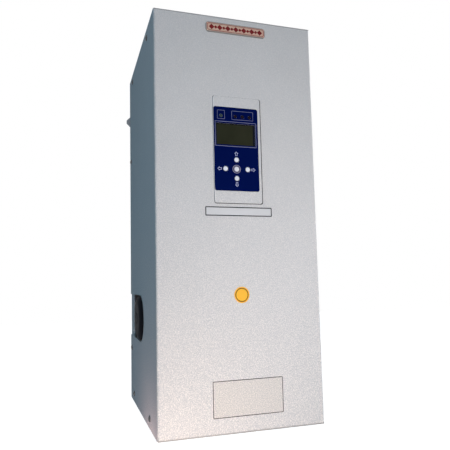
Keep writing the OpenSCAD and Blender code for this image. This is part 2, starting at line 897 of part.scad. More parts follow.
module power_led() color("#7f9a86") lamp(lamp_places[0]);
module heating_leds() color("darkred") for (i = [1 : 3]) lamp(lamp_places[i]);

// A plain domed plate
module badge() color("antiquewhite") translate([badge_x, 0, z_top - badge_drop]) {
    plate_y(y_front - badge_edge_t, y_front) rounded(badge_w, badge_h, badge_r);
    plate_y(y_front - badge_t, y_front - badge_edge_t / 2)
        rounded(badge_w - badge_t, badge_h - badge_t, badge_r - badge_t / 2);
}

// Heater vessel: a tube with a dished top, a screwed foot and a side inlet

module heater_vessel() color("silver") translate([vessel_x, vessel_y, 0]) difference() {
    union() {
        vessel_solid(vessel_r, dish_r, 0);
        translate([0, 0, vessel_z - socket_len]) cylinder(h = socket_len + foot_t, r = socket_r);
        translate([0, 0, vessel_top_z + dish_rise / 2])
            cylinder(h = dish_rise / 2 + neck_len, r = pipe_r + neck_wall);
        rod_x(-vessel_r - port_out, -vessel_r + vessel_r / 3, 0, port_z, pipe_r + neck_wall);
        rod_y(0, -vessel_r - sensor_boss_len, -vessel_r + sensor_boss_len, sensor_z, sensor_boss_r);
    }
    vessel_solid(vessel_r - vessel_wall, dish_r - vessel_wall, foot_t);
    translate([0, 0, vessel_z - socket_len - cut])
        cylinder(h = socket_len + foot_t + 2 * cut, r = thread_r + thread_gap);
    translate([0, 0, vessel_top_z]) cylinder(h = dish_rise + neck_len + cut, r = pipe_r - pipe_wall);
    translate([0, 0, vessel_top_z + dish_rise + neck_len - neck_seat])
        cylinder(h = neck_seat + cut, r = pipe_r + snug);
    rod_x(-vessel_r - port_out - cut, -vessel_r + vessel_r / 2, 0, port_z, pipe_r - pipe_wall);
    rod_x(-vessel_r - port_out - cut, -vessel_r - port_out + port_seat, 0, port_z, pipe_r + snug);
    rod_y(0, -vessel_r - sensor_boss_len - cut, 0, sensor_z, sensor_thread_r + snug);
}

// The vessel's tube and dish as a solid of revolution, starting above its foot
module vessel_solid(r, dish, start) {
    translate([0, 0, vessel_z + start]) cylinder(h = vessel_len - start, r = r);
    intersection() {
        translate([0, 0, vessel_z + vessel_len / 2]) cylinder(h = vessel_len, r = r);
        translate([0, 0, vessel_top_z + dish_rise - dish_r]) sphere(dish);
    }
}

head_top_z = vessel_z - socket_len - head_gasket_t;
head_low_z = head_top_z - head_t;

// Angles of the two legs of each element round the head
function leg_angle(i, leg) = 360 / element_count * i + leg * 60;

module at_leg(i, leg) rotate(leg_angle(i, leg)) translate([element_ring_r, 0, 0]) children();

module heater_head() color("goldenrod") translate([vessel_x, vessel_y, 0]) difference() {
    union() {
        hex_z(head_low_z, head_top_z, head_flat);
        translate([0, 0, head_low_z]) cylinder(h = head_t + head_gasket_t + socket_len, r = thread_r);
    }
    for (i = [0 : element_count - 1], leg = [0, 1]) at_leg(i, leg)
        translate([0, 0, head_low_z - cut])
            cylinder(h = head_t + head_gasket_t + socket_len + 2 * cut, r = element_r + snug);
}

module head_gasket() color("#303030") translate([vessel_x, vessel_y, 0])
    ring_z(head_top_z, head_top_z + head_gasket_t, thread_r + thread_gap, head_gasket_r);

// Half the distance between the two legs of an element, and how far the pair stands from the middle
leg_half = element_ring_r * sin(30);
leg_out = element_ring_r * cos(30);
leg_top_z = vessel_top_z - element_drop;
pin_low_z = head_low_z - cold_end / 3 - pin_len;

// Hairpin elements: two legs and a half-round bend, with a screwed pin below each leg
module heating_elements() color("#8a8f94") translate([vessel_x, vessel_y, 0])
    for (i = [0 : element_count - 1])
        rotate(leg_angle(i, 1 / 2)) translate([leg_out, 0, 0]) {
            for (side = [-1, 1]) translate([0, side * leg_half, 0]) {
                translate([0, 0, pin_low_z + pin_len])
                    cylinder(h = leg_top_z - pin_low_z - pin_len, r = element_r);
                translate([0, 0, pin_low_z]) cylinder(h = pin_len + cut, r = pin_r);
            }
            translate([0, 0, leg_top_z]) rotate([90, 0, 90])
                rotate_extrude(angle = 180) translate([leg_half, 0]) circle(element_r);
        }

// The star link that joins one pin of each element, and the six nuts on the pins
module terminal_hardware() color("goldenrod") translate([vessel_x, vessel_y, 0]) {
    difference() {
        for (i = [0 : element_count - 1]) rotate(leg_angle(i, 1)) {
            translate([0, -link_w / 2, pin_low_z + link_up]) cube([element_ring_r, link_w, link_t]);
            translate([element_ring_r, 0, pin_low_z + link_up]) cylinder(h = link_t, r = link_w / 2);
        }
        for (i = [0 : element_count - 1]) at_leg(i, 1) translate([0, 0, pin_low_z])
            cylinder(h = pin_len, r = pin_r + snug);
    }
    for (i = [0 : element_count - 1], leg = [0, 1]) at_leg(i, leg)
        translate([0, 0, pin_low_z + link_up + link_t]) difference() {
            hex_z(0, terminal_nut_t, terminal_nut_flat);
            translate([0, 0, -cut]) cylinder(h = terminal_nut_t + 2 * cut, r = pin_r + snug);
        }
}

// Brackets that carry the vessel from the rear panel, and the band above each
module at_brackets() for (z = [vessel_z + bracket_in, vessel_top_z - bracket_in])
    translate([vessel_x, vessel_y, z]) children();

module vessel_brackets() color("silver") at_brackets() difference() {
    union() {
        block([-bracket_half_w, bracket_front, 0],
            [bracket_half_w, y_inner - vessel_y, bracket_t]);
        block([-bracket_half_w, y_inner - vessel_y - bracket_t, 0],
            [bracket_half_w, y_inner - vessel_y, bracket_flange_h]);
    }
    translate([0, 0, -cut]) cylinder(h = bracket_t + 2 * cut, r = vessel_r + snug);
}

module vessel_straps() color("silver") at_brackets() translate([0, 0, bracket_t]) difference() {
    union() {
        cylinder(h = strap_h, r = vessel_r + strap_t);
        rotate(-120) translate([-strap_box_w / 2, -vessel_r - strap_box_d, 0])
            cube([strap_box_w, strap_box_d, strap_h]);
    }
    translate([0, 0, -cut]) cylinder(h = strap_h + 2 * cut, r = vessel_r + snug);
}

// Pipes

// A stub with a collar, thread and bore, standing on z = 0
module pipe_stub(length) {
    cylinder(h = stub_collar_t, r = stub_collar_r);
    cylinder(h = stub_collar_t + length, r = stub_r);
}

module supply_pipe() color("#b8bcc0") translate([vessel_x, vessel_y, 0]) difference() {
    union() {
        translate([0, 0, z_frame_top]) pipe_stub(supply_len);
        translate([0, 0, vessel_top_z + dish_rise + neck_len - neck_seat])
            cylinder(h = z_frame_top - vessel_top_z - dish_rise - neck_len + neck_seat + cut, r = pipe_r);
    }
    translate([0, 0, vessel_top_z]) cylinder(h = case_h, r = pipe_r - pipe_wall);
}

module return_pipe() color("#b8bcc0") translate([pump_x, pump_y, 0]) difference() {
    union() {
        translate([0, 0, z_frame_bottom]) mirror([0, 0, 1]) pipe_stub(return_len);
        translate([0, 0, z_frame_bottom - cut])
            cylinder(h = pump_z - union_face - gasket_t - z_frame_bottom + cut, r = pipe_r);
        translate([0, 0, pump_z - union_face - gasket_t - collar_t]) cylinder(h = collar_t, r = collar_r);
    }
    translate([0, 0, z_frame_bottom - stub_collar_t - return_len - cut])
        cylinder(h = case_h, r = pipe_r - pipe_wall);
}

module pipe_section() difference() {
    circle(pipe_r);
    circle(pipe_r - pipe_wall);
}

// Collar, upright leg, bend and level leg, each standing on the one before
module pump_elbow() color("#b8bcc0") translate([pump_x, pump_y, 0]) {
    ring_z(elbow_z - elbow_leg, elbow_z - elbow_leg + collar_t, pipe_r - pipe_wall, collar_r);
    translate([0, 0, elbow_z - elbow_leg + collar_t]) linear_extrude(elbow_leg - collar_t) pipe_section();
    translate([elbow_r, 0, elbow_z]) rotate([90, 0, 0]) rotate([0, 0, 90])
        rotate_extrude(angle = 90) translate([elbow_r, 0]) pipe_section();
    translate([elbow_r, 0, port_z]) rotate([0, 90, 0])
        linear_extrude(vessel_x - vessel_r - port_out + port_seat - pump_x - elbow_r) pipe_section();
}

// Union nuts and gaskets at both pipe faces of the pump
module at_unions() translate([pump_x, pump_y, pump_z]) for (side = [0, 1])
    mirror([0, 0, side]) translate([0, 0, union_face]) children();

module union_nuts() color("#a08a4c") at_unions() difference() {
    hex_z(-nut_grip, gasket_t + collar_t + nut_lip_t, 2 * (port_thread_r + nut_wall));
    translate([0, 0, -nut_grip - cut])
        cylinder(h = nut_grip + cut + gasket_t + collar_t, r = port_thread_r + snug);
    cylinder(h = gasket_t + collar_t + nut_lip_t + cut, r = pipe_r + nut_gap);
}

module union_gaskets() color("#303030") at_unions() ring_z(0, gasket_t, port_bore_r, gasket_r);

// Circulation pump. In its own frame +Z runs along the shaft to the motor and +X points up.

module pump_frame() translate([pump_x, pump_y, pump_z]) rotate([0, -90, 0]) children();

module at_pump_bolts() for (turn = [45 : 90 : 315])
    rotate(turn) translate([pump_bolt_circle, 0, 0]) children();

// A spiral about the shaft, wall past the impeller chamber at its start and wider by one rise at its end
function spiral_point(i, wall) = let (share = i / spiral_steps,
    r = chamber_r + wall + spiral_rise * share) [r * cos(360 * share), r * sin(360 * share)];

module spiral(lo, hi, wall, start) translate([0, 0, lo]) linear_extrude(hi - lo) rotate(start)
    polygon([for (i = [0 : spiral_steps]) spiral_point(i, wall)]);

module pump_volute() color("#3c4046") pump_frame() difference() {
    union() {
        rotate_extrude() polygon([[0, -volute_back], [dome_flat_r, -volute_back],
            [dome_r, -spiral_body_back - cut], [dome_r, volute_front - volute_flange_t + cut],
            [0, volute_front - volute_flange_t + cut]]);
        spiral(-spiral_body_back, volute_front - volute_flange_t + 2 * cut, spiral_gap + volute_wall,
            outer_tongue_turn);
        translate([0, 0, volute_front - volute_flange_t]) cylinder(h = volute_flange_t, r = volute_r);
        at_pump_bolts() translate([0, 0, volute_front - lug_t]) cylinder(h = lug_t - lug_set, r = lug_r);
        rotate([0, 90, 0]) cylinder(h = pump_len - port_thread_len, r = neck_r, center = true);
        for (side = [-1, 1])
            rotate([0, side * 90, 0]) translate([0, 0, union_face - port_thread_len])
                cylinder(h = port_thread_len, r = port_thread_r);
    }
    translate([0, 0, chamber_back]) cylinder(h = volute_front, r = chamber_r);
    spiral(chamber_back + spiral_set, spiral_front, spiral_gap, tongue_turn);
    for (side = [-1, 1])
        rotate([0, side * 90, 0]) translate([0, 0, union_face - port_bore_d])
            cylinder(h = port_bore_d + cut, r = port_bore_r);
    translate([0, 0, -suction_set]) rotate([0, -90, 0]) translate([0, 0, -suction_r])
        cylinder(h = suction_r + union_face - port_bore_d + cut, r = suction_r);
    translate([0, 0, -suction_set]) cylinder(h = suction_set + chamber_back + cut, r = suction_eye_r);
    translate([0, 0, discharge_set]) rotate([0, 90, 0]) translate([0, 0, chamber_r / 2])
        cylinder(h = union_face - port_bore_d + cut - chamber_r / 2, r = discharge_r);
    at_pump_bolts() translate([0, 0, volute_front - pump_bolt_in])
        cylinder(h = pump_bolt_in + cut, r = pump_bolt_r + snug);
}

// Outline of the rounded end of the motor, from its side to its flat face
shoulder_steps = 8;
function shoulder(i) = [
    motor_face_r + (motor_r - motor_face_r) * cos(90 * i / shoulder_steps),
    pump_reach - motor_shoulder + motor_shoulder * sin(90 * i / shoulder_steps)];

module pump_motor() color("#1c1e22") pump_frame() difference() {
    union() {
        rotate_extrude() polygon(concat(
            [[0, volute_front], [volute_r, volute_front], [volute_r, volute_front + flange_t],
                [motor_r - rib_h, volute_front + flange_t],
                [motor_r - rib_h, pump_reach - motor_shoulder - motor_band],
                [motor_r, pump_reach - motor_shoulder - motor_band]],
            [for (i = [0 : shoulder_steps]) shoulder(i)],
            [[0, pump_reach]]));
        at_pump_bolts() translate([0, 0, volute_front + lug_set])
            cylinder(h = flange_t - 2 * lug_set, r = lug_r);
        for (i = [0 : rib_count - 1])
            rotate(360 / rib_count * i)
                translate([cavity_r + shell_t / 4, -rib_w / 2, rib_start])
                    cube([shell_t * 3 / 4 - snug, rib_w, rib_run]);
    }
    translate([0, 0, volute_front - cut])
        cylinder(h = pump_reach - volute_front - motor_end_t + cut, r = cavity_r);
    cylinder(h = pump_reach + cut, r = plug_r + snug);
    at_pump_bolts() cylinder(h = volute_front + flange_t + cut, r = pump_bolt_r + hole_gap);
}

// The laminated core and the ring of coil ends on each side of it
module pump_stator() color("#a8642c") pump_frame() {
    ring_z(stator_start + coil_over, stator_start + stator_len - coil_over, can_r + hole_gap,
        cavity_r - snug);
    for (start = [stator_start, stator_start + stator_len - coil_over - cut])
        ring_z(start, start + coil_over + cut, can_r + coil_in, cavity_r - coil_in);
}

// A thin cup that keeps the water in the rotor chamber, with a seat for each bush
module rotor_can() color("silver") pump_frame() difference() {
    union() {
        translate([0, 0, volute_front]) cylinder(h = can_flange_t, r = cavity_r - snug);
        translate([0, 0, volute_front]) cylinder(h = can_len, r = can_r);
    }
    difference() {
        translate([0, 0, volute_front + can_flange_t])
            cylinder(h = can_len - can_flange_t - can_t, r = can_r - can_t);
        translate([0, 0, volute_front]) cylinder(h = bush_len + cut, r = bush_boss_r);
        translate([0, 0, back_bush]) cylinder(h = can_len, r = bush_boss_r);
    }
    translate([0, 0, volute_front - cut]) cylinder(h = bush_len + 3 * cut, r = bush_r + snug);
    translate([0, 0, back_bush - cut]) cylinder(h = bush_len + cut, r = bush_r + snug);
}

module pump_bearings() color("#4a4a4a") pump_frame() {
    for (start = [front_bush, back_bush])
        ring_z(start, start + bush_len, shaft_r + run_gap, bush_r);
}

module pump_rotor() color("#9a9ea2") pump_frame() {
    translate([0, 0, impeller_start + cut])
        cylinder(h = back_bush + bush_len - impeller_start - 2 * cut, r = shaft_r);
    translate([0, 0, core_start]) cylinder(h = core_len, r = core_r);
}

// Outline of one backward-curved vane, wider towards its root
function vane_point(i, side) = let (share = i / vane_steps,
    r = vane_inner_r + (impeller_r - vane_inner_r) * share, a = -vane_sweep * share)
    [r * cos(a) - side * vane_t / 2 * sin(a), r * sin(a) + side * vane_t / 2 * cos(a)];

module pump_impeller() color("#c8b98a") pump_frame() translate([0, 0, impeller_start])
    difference() {
        union() {
            ring_z(0, shroud_t, eye_r, impeller_r);
            translate([0, 0, impeller_w - shroud_t]) cylinder(h = shroud_t, r = impeller_r);
            cylinder(h = hub_len, r = hub_r);
            for (i = [0 : vane_count - 1])
                rotate(360 / vane_count * i) linear_extrude(impeller_w)
                    polygon(concat([for (k = [0 : vane_steps]) vane_point(k, 1)],
                        [for (k = [vane_steps : -1 : 0]) vane_point(k, -1)]));
        }
        translate([0, 0, -cut]) cylinder(h = hub_len + 2 * cut, r = shaft_r + snug);
    }

module pump_bolts() color("silver") pump_frame() at_pump_bolts() {
    translate([0, 0, volute_front + flange_t]) difference() {
        cylinder(h = pump_bolt_head_h, r = pump_bolt_head_r);
        hex_z(pump_bolt_head_h / 2, pump_bolt_head_h + cut, pump_bolt_head_r);
    }
    translate([0, 0, volute_front - pump_bolt_in + cut])
        cylinder(h = pump_bolt_in + flange_t - cut + pump_bolt_head_h / 4, r = pump_bolt_r);
}

module vent_plug() color("#34373c") pump_frame() difference() {
    translate([0, 0, pump_reach - motor_end_t]) cylinder(h = motor_end_t + plug_out, r = plug_r);
    translate([-plug_r, -plug_slot_w / 2, pump_reach + plug_out - plug_slot_d])
        cube([2 * plug_r, plug_slot_w, plug_slot_d + cut]);
}

// Terminal box on top of the motor, with the speed knob on its front
module pump_terminal_box() color("#26282c") pump_frame() difference() {
    union() {
        block([box_low, -box_half_y, box_start], [box_high - box_lid_t, box_half_y, box_start + box_len]);
        block([box_high - box_lid_t, -box_half_y - box_lid_in, box_start - box_lid_in],
            [box_high, box_half_y + box_lid_in, box_start + box_len + box_lid_in]);
    }
    translate([0, 0, box_start - cut]) cylinder(h = box_len + 2 * cut, r = motor_r + snug);
    translate([knob_rise, -box_half_y - cut, box_start + box_len / 2]) rotate([-90, 0, 0])
        cylinder(h = knob_stem_len + 2 * cut, r = knob_stem_r + slide_gap);
}

module pump_speed_knob() color("#b9bcc0") pump_frame()
    translate([knob_rise, -box_half_y - slide_gap, box_start + box_len / 2]) rotate([90, 0, 0]) {
        cylinder(h = knob_t - knob_grip_h, r = knob_r);
        translate([-knob_r + cut, -knob_grip_w / 2, 0]) cube([2 * (knob_r - cut), knob_grip_w, knob_t]);
        translate([0, 0, -knob_stem_len]) cylinder(h = knob_stem_len + cut, r = knob_stem_r);
    }

// Sensor and overheat thermostat

module temperature_sensor() color("#a08a4c")
    translate([vessel_x, vessel_y - vessel_r - sensor_boss_len, sensor_z])
        rotate([90, 0, 0]) {
            hex_z(0, sensor_hex_t, sensor_hex);
            cylinder(h = sensor_hex_t + sensor_plug_len, r = sensor_plug_r);
            translate([0, 0, -sensor_boss_len - vessel_wall])
                cylinder(h = sensor_boss_len + vessel_wall, r = sensor_thread_r);
            translate([0, 0, -sensor_boss_len - sensor_probe_len])
                cylinder(h = sensor_probe_len, r = sensor_probe_r);
        }

module at_thermostat() translate([thermostat_x, thermostat_y, z_frame_bottom])
    children();

module overheat_thermostat() color("#e8e2d0") at_thermostat() difference() {
    union() {
        block([-thermostat_w / 2, -thermostat_d / 2, frame_t],
            [thermostat_w / 2, thermostat_d / 2, frame_t + thermostat_h]);
        translate([0, 0, -thermostat_neck_len])
            cylinder(h = thermostat_neck_len + 2 * frame_t, r = thermostat_neck_r);
    }
    translate([0, 0, -thermostat_neck_len - cut])
        cylinder(h = reset_len + reset_travel + 2 * cut, r = reset_r + slide_gap);
}

module thermostat_reset() color("firebrick") at_thermostat()
    translate([0, 0, -thermostat_neck_len - reset_out]) cylinder(h = reset_len, r = reset_r);

// Component tray and the electrical parts on it

module component_tray() color("lightgray") translate([tray_left, 0, tray_low_z])
    linear_extrude(tray_top_z - tray_low_z) {
        translate([0, tray_front_y]) square([tray_w, frame_t]);
        for (x = [0, tray_w - frame_t])
            translate([x, tray_front_y]) square([frame_t, y_inner - tray_front_y]);
        for (x = [0, tray_w - tray_foot])
            translate([x, y_inner - frame_t]) square([tray_foot, frame_t]);
    }

module at_contactor() translate([contactor_x, tray_front_y, contactor_z]) children();

module contactor_body() color("#3a3a3c") at_contactor() difference() {
    union() {
        block([-contactor_w / 2, -contactor_d + contactor_step_d, -contactor_tall / 2],
            [contactor_w / 2, 0, contactor_tall / 2]);
        block([-contactor_w / 2, -contactor_d, -contactor_tall / 2 + contactor_step],
            [contactor_w / 2, 0, contactor_tall / 2 - contactor_step]);
    }
    block([-armature_w / 2 - slide_gap, -contactor_d - cut, -armature_tall / 2 - slide_gap],
        [armature_w / 2 + slide_gap, -contactor_d + armature_d + armature_travel,
            armature_tall / 2 + slide_gap]);
    for (i = [-1 : 1], side = [-1, 1])
        translate([i * contactor_pole_pitch, 0, side * (contactor_tall - contactor_step) / 2])
            rod_y(0, -contactor_d, -contactor_d + contactor_step_d + contactor_pole_d, 0, pole_screw_r);
}

module contactor_armature() color("#d8d8d0") at_contactor()
    block([-armature_w / 2, -contactor_d - armature_out, -armature_tall / 2],
        [armature_w / 2, -contactor_d - armature_out + armature_d, armature_tall / 2]);

module terminal_block() color("#d6d3c6")
    translate([tray_mid, tray_front_y, block_z]) difference() {
        block([-block_w / 2, -block_d, -block_tall / 2], [block_w / 2, 0, block_tall / 2]);
        for (i = [0 : pole_count - 1])
            translate([-block_w / 2 + block_w / pole_count * (i + 1 / 2), 0, 0]) {
                for (side = [-1, 1])
                    rod_y(0, -block_d - cut, -block_d / 2, side * block_tall / 4, pole_screw_r);
                block([-block_w / pole_count / 2 + pole_wall, -block_d - cut, -pole_wall],
                    [block_w / pole_count / 2 - pole_wall, -block_d / 2, pole_wall]);
                translate([0, -block_d / 3, -block_tall / 2 - cut])
                    cylinder(h = block_tall + 2 * cut, r = pole_wire_r);
            }
    }

module heat_sink() color("#8d9196")
    translate([tray_mid - sink_w / 2, tray_front_y, sink_z]) {
        translate([0, -sink_base_t, 0]) cube([sink_w, sink_base_t, sink_tall]);
        for (i = [0 : sink_fin_count - 1])
            translate([(sink_w - sink_fin_t) / (sink_fin_count - 1) * i, -sink_base_t - sink_fin_d, 0])
                cube([sink_fin_t, sink_fin_d + cut, sink_fin_tall]);
    }

module triacs() color("#222222")
    for (i = [-1 : 1])
        translate([tray_mid + i * triac_pitch, tray_front_y - sink_base_t,
            sink_z + sink_fin_tall + triac_tab_tall]) {
            block([-triac_w / 2, -triac_t, 0], [triac_w / 2, 0, triac_tall]);
            block([-triac_w / 2, -triac_tab_t, 0], [triac_w / 2, 0, triac_tall + triac_tab_tall]);
        }

module power_board() color("seagreen")
    translate([tray_mid, tray_front_y - power_board_stand, sink_z + power_board_up]) {
        block([-power_board_w / 2, 0, 0], [power_board_w / 2, board_t, power_board_tall]);
        for (x = [-1, 1], z = [pillar_in, power_board_tall - pillar_in])
            rod_y(x * (power_board_w / 2 - pillar_in), board_t / 2, power_board_stand, z, pillar_r);
        for (i = [-1 : 1])
            translate([i * relay_pitch, 0, power_board_tall / 4])
                block([-relay_w / 2, -relay_d, 0], [relay_w / 2, board_t / 2, relay_tall]);
        translate([-power_board_w / 4, 0, power_board_tall / 2])
            block([-coil_w / 2, -coil_d, 0], [coil_w / 2, board_t / 2, coil_tall]);
    }

// Cable glands under the bottom plate

module at_glands() for (i = [0, 1])
    translate([gland_x + i * gland_pitch, gland_y, z_frame_bottom]) children();

module cable_glands() color("#4a4d50") at_glands() difference() {
    union() {
        hex_z(-gland_flange_t, 0, gland_flat);
        translate([0, 0, -gland_flange_t - seal_len])
            cylinder(h = gland_flange_t + seal_len + gland_up, r = gland_thread_r);
        hex_z(frame_t, frame_t + locknut_t, gland_flat);
    }
    translate([0, 0, -gland_flange_t - seal_len - cut])
        cylinder(h = gland_flange_t + seal_len + gland_up + 2 * cut, r = gland_bore_r + gland_body_gap);
    translate([0, 0, -gland_flange_t - seal_len - cut])
        cylinder(h = seal_len + cut, r = gland_thread_r - gland_wall);
}

module gland_seals() color("#2e2e2e") at_glands()
    ring_z(-gland_flange_t - seal_len, -gland_flange_t, gland_bore_r, gland_thread_r - gland_wall - snug);

module gland_caps() color("#4a4d50") at_glands() difference() {
    hex_z(-gland_flange_t - seal_len - cap_lip, -gland_flange_t - cap_gap, cap_flat);
    translate([0, 0, -gland_flange_t - seal_len]) cylinder(h = seal_len + cut, r = gland_thread_r + snug);
    translate([0, 0, -gland_flange_t - seal_len - cap_lip - cut])
        cylinder(h = cap_lip + 2 * cut, r = gland_bore_r + 2 * hole_gap);
}

wall_rail();
rear_panel();
hanger_hook();
chassis_screws();
wall_buffers();
top_plate();
bottom_plate();
cover();
cover_screws();
control_bezel();
keypad_overlay();
lcd_window();
lcd_module();
display_board();
display_case();
bezel_nuts();
key_up();
key_down();
key_left();
key_right();
key_enter();
power_led();
heating_leds();
badge();
heater_vessel();
heater_head();
head_gasket();
heating_elements();
terminal_hardware();
vessel_brackets();
vessel_straps();
supply_pipe();
pump_elbow();
return_pipe();
union_nuts();
union_gaskets();
pump_volute();
pump_motor();
pump_stator();
rotor_can();
pump_bearings();
pump_rotor();
pump_impeller();
pump_bolts();
vent_plug();
pump_terminal_box();
pump_speed_knob();
temperature_sensor();
overheat_thermostat();
thermostat_reset();
component_tray();
contactor_body();
contactor_armature();
terminal_block();
power_board();
heat_sink();
triacs();
cable_glands();
gland_caps();
gland_seals();
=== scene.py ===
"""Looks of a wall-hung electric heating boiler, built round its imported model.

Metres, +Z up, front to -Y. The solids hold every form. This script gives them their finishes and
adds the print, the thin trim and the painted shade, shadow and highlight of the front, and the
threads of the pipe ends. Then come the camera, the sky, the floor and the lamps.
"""
import json
import math

import bmesh
import bpy
from mathutils import Matrix, Vector


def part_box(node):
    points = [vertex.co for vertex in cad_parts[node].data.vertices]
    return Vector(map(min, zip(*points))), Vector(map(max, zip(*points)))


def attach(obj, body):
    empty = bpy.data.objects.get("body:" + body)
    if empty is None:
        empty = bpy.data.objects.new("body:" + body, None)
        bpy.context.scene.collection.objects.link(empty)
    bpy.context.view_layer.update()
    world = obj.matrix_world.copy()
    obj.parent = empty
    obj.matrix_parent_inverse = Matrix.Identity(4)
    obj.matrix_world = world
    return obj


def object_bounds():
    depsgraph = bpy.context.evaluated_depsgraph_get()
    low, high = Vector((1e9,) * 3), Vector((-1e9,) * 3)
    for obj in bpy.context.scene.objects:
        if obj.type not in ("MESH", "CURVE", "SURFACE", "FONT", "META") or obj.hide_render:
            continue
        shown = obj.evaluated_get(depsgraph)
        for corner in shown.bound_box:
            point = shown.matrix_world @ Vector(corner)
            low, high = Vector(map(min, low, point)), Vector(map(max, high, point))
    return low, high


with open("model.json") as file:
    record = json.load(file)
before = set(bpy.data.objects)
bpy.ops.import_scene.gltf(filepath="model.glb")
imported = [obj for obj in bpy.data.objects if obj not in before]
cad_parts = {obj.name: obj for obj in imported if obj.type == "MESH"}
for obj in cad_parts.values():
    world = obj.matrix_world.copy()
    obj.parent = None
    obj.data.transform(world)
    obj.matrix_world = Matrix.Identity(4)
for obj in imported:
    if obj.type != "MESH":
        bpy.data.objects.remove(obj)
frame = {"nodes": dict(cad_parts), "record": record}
cad_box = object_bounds()
nodes = frame["nodes"]

MM = 0.001

# Places on the front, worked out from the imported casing
cover_low, cover_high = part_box("cover")
bezel_low, bezel_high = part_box("control_bezel")
window_low, window_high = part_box("lcd_window")
badge_low, badge_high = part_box("badge")
FRONT_Y = cover_low.y
BOTTOM_Z = cover_low.z
BADGE_Y = badge_low.y
OVERLAY_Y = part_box("keypad_overlay")[0].y


def up(height_mm):
    """The place along Z of a height in millimetres above the bottom of the casing."""
    return BOTTOM_Z + height_mm * MM


def middle(low, high):
    """The middle of a box."""
    return (low + high) / 2


# Tools for node trees


def fill(tree, node, values):
    """Sets inputs by name or number: a socket is linked, and anything else is the input's value."""
    for key, value in values.items():
        socket = node.inputs[key]
        if isinstance(value, bpy.types.NodeSocket):
            tree.links.new(value, socket)
        elif socket.type == "RGBA":
            socket.default_value = (*value, 1)
        else:
            socket.default_value = value


def add_node(tree, kind, values, operation=None):
    node = tree.nodes.new("ShaderNode" + kind)
    if operation:
        node.operation = operation
    fill(tree, node, values)
    return node


def maths(tree, operation, *values):
    """The result of an operation on numbers or sockets."""
    return add_node(tree, "Math", dict(enumerate(values)), operation).outputs[0]


def vector_maths(tree, operation, *values):
    """The result of an operation on vectors. A length or a distance comes out as a number."""
    node = add_node(tree, "VectorMath", dict(enumerate(values)), operation)
    return node.outputs["Value" if operation in ("LENGTH", "DISTANCE") else "Vector"]


def object_point(tree, scale=(1, 1, 1)):
    """The place on the object in metres, stretched by scale."""
    place = tree.nodes.new("ShaderNodeTexCoord").outputs["Object"]
    return add_node(tree, "Mapping", {"Vector": place, "Scale": scale}).outputs["Vector"]


def noise(tree, point, per_metre, detail=3.0, roughness=0.55):
    """Smooth noise from 0 to 1, with about so many lumps in a metre."""
    values = {"Vector": point, "Scale": per_metre, "Detail": detail, "Roughness": roughness}
    return add_node(tree, "TexNoise", values).outputs["Fac"]


def ramp(tree, value, stops, colours):
    """Colours at two or more stops of a 0 to 1 value, blended between them."""
    node = add_node(tree, "ValToRGB", {"Fac": value})
    elements = node.color_ramp.elements
    for place in stops[1:-1]:
        elements.new(place)
    for element, place, colour in zip(elements, stops, colours):
        element.position = place
        element.color = (*colour, 1)
    return node.outputs["Color"]


def span(tree, value, low, high):
    """Maps a 0 to 1 value to a range."""
    node = add_node(tree, "MapRange", {"Value": value, "To Min": low, "To Max": high})
    return node.outputs["Result"]


def share_of(tree, value, low, high):
    """0 where a value is under low, 1 where it is over high, and a share between them."""
    node = add_node(tree, "MapRange", {"Value": value, "From Min": low, "From Max": high})
    return node.outputs["Result"]


# Numbers of the inputs and the output of a Mix node that mixes colours
MIX_SHARE = 0
MIX_FIRST = 6
MIX_SECOND = 7
MIX_COLOUR = 2


def mix_colour(tree, share, first, second):
    node = tree.nodes.new("ShaderNodeMix")
    node.data_type = "RGBA"
    fill(tree, node, {MIX_SHARE: share, MIX_FIRST: first, MIX_SECOND: second})
    return node.outputs[MIX_COLOUR]


def bump(tree, height, depth):
    """A normal that follows a height from 0 to 1, over a depth in metres."""
    return add_node(tree, "Bump", {"Height": height, "Distance": depth}).outputs["Normal"]


def new_material(name):
    material = bpy.data.materials.new(name)
    material.use_nodes = True
    tree = material.node_tree
    tree.nodes.clear()
    shader = tree.nodes.new("ShaderNodeBsdfPrincipled")
    add_node(tree, "OutputMaterial", {"Surface": shader.outputs["BSDF"]})
    return material, tree, shader


def tinted(colour, factors):
    """A colour with each of its parts times its own factor."""
    return tuple(min(1.0, part * factor) for part, factor in zip(colour, factors))


def tone(colour, factor):
    """A colour made darker or lighter."""
    return tinted(colour, (factor, factor, factor))


# Plain finishes

# Stops of the slow drift between a darker and a lighter tone
DRIFT_STOPS = (0.3, 0.7)
# How much lighter the fine grain is than the colour that it lies in
GRAIN_TONE = 1.6
# Rubbed edges: how convex an edge is where wear begins and where it is full, and breaks in a metre
RUBBED_FROM = 0.52
RUBBED_TO = 0.62
BREAKS_PER_M = 120.0


def edge_wear(tree):
    """A share of wear: most on convex edges, and broken up by noise."""
    convex = tree.nodes.new("ShaderNodeNewGeometry").outputs["Pointiness"]
    breaks = noise(tree, object_point(tree), BREAKS_PER_M, detail=4.0)
    return maths(tree, "MULTIPLY", share_of(tree, convex, RUBBED_FROM, RUBBED_TO), breaks)


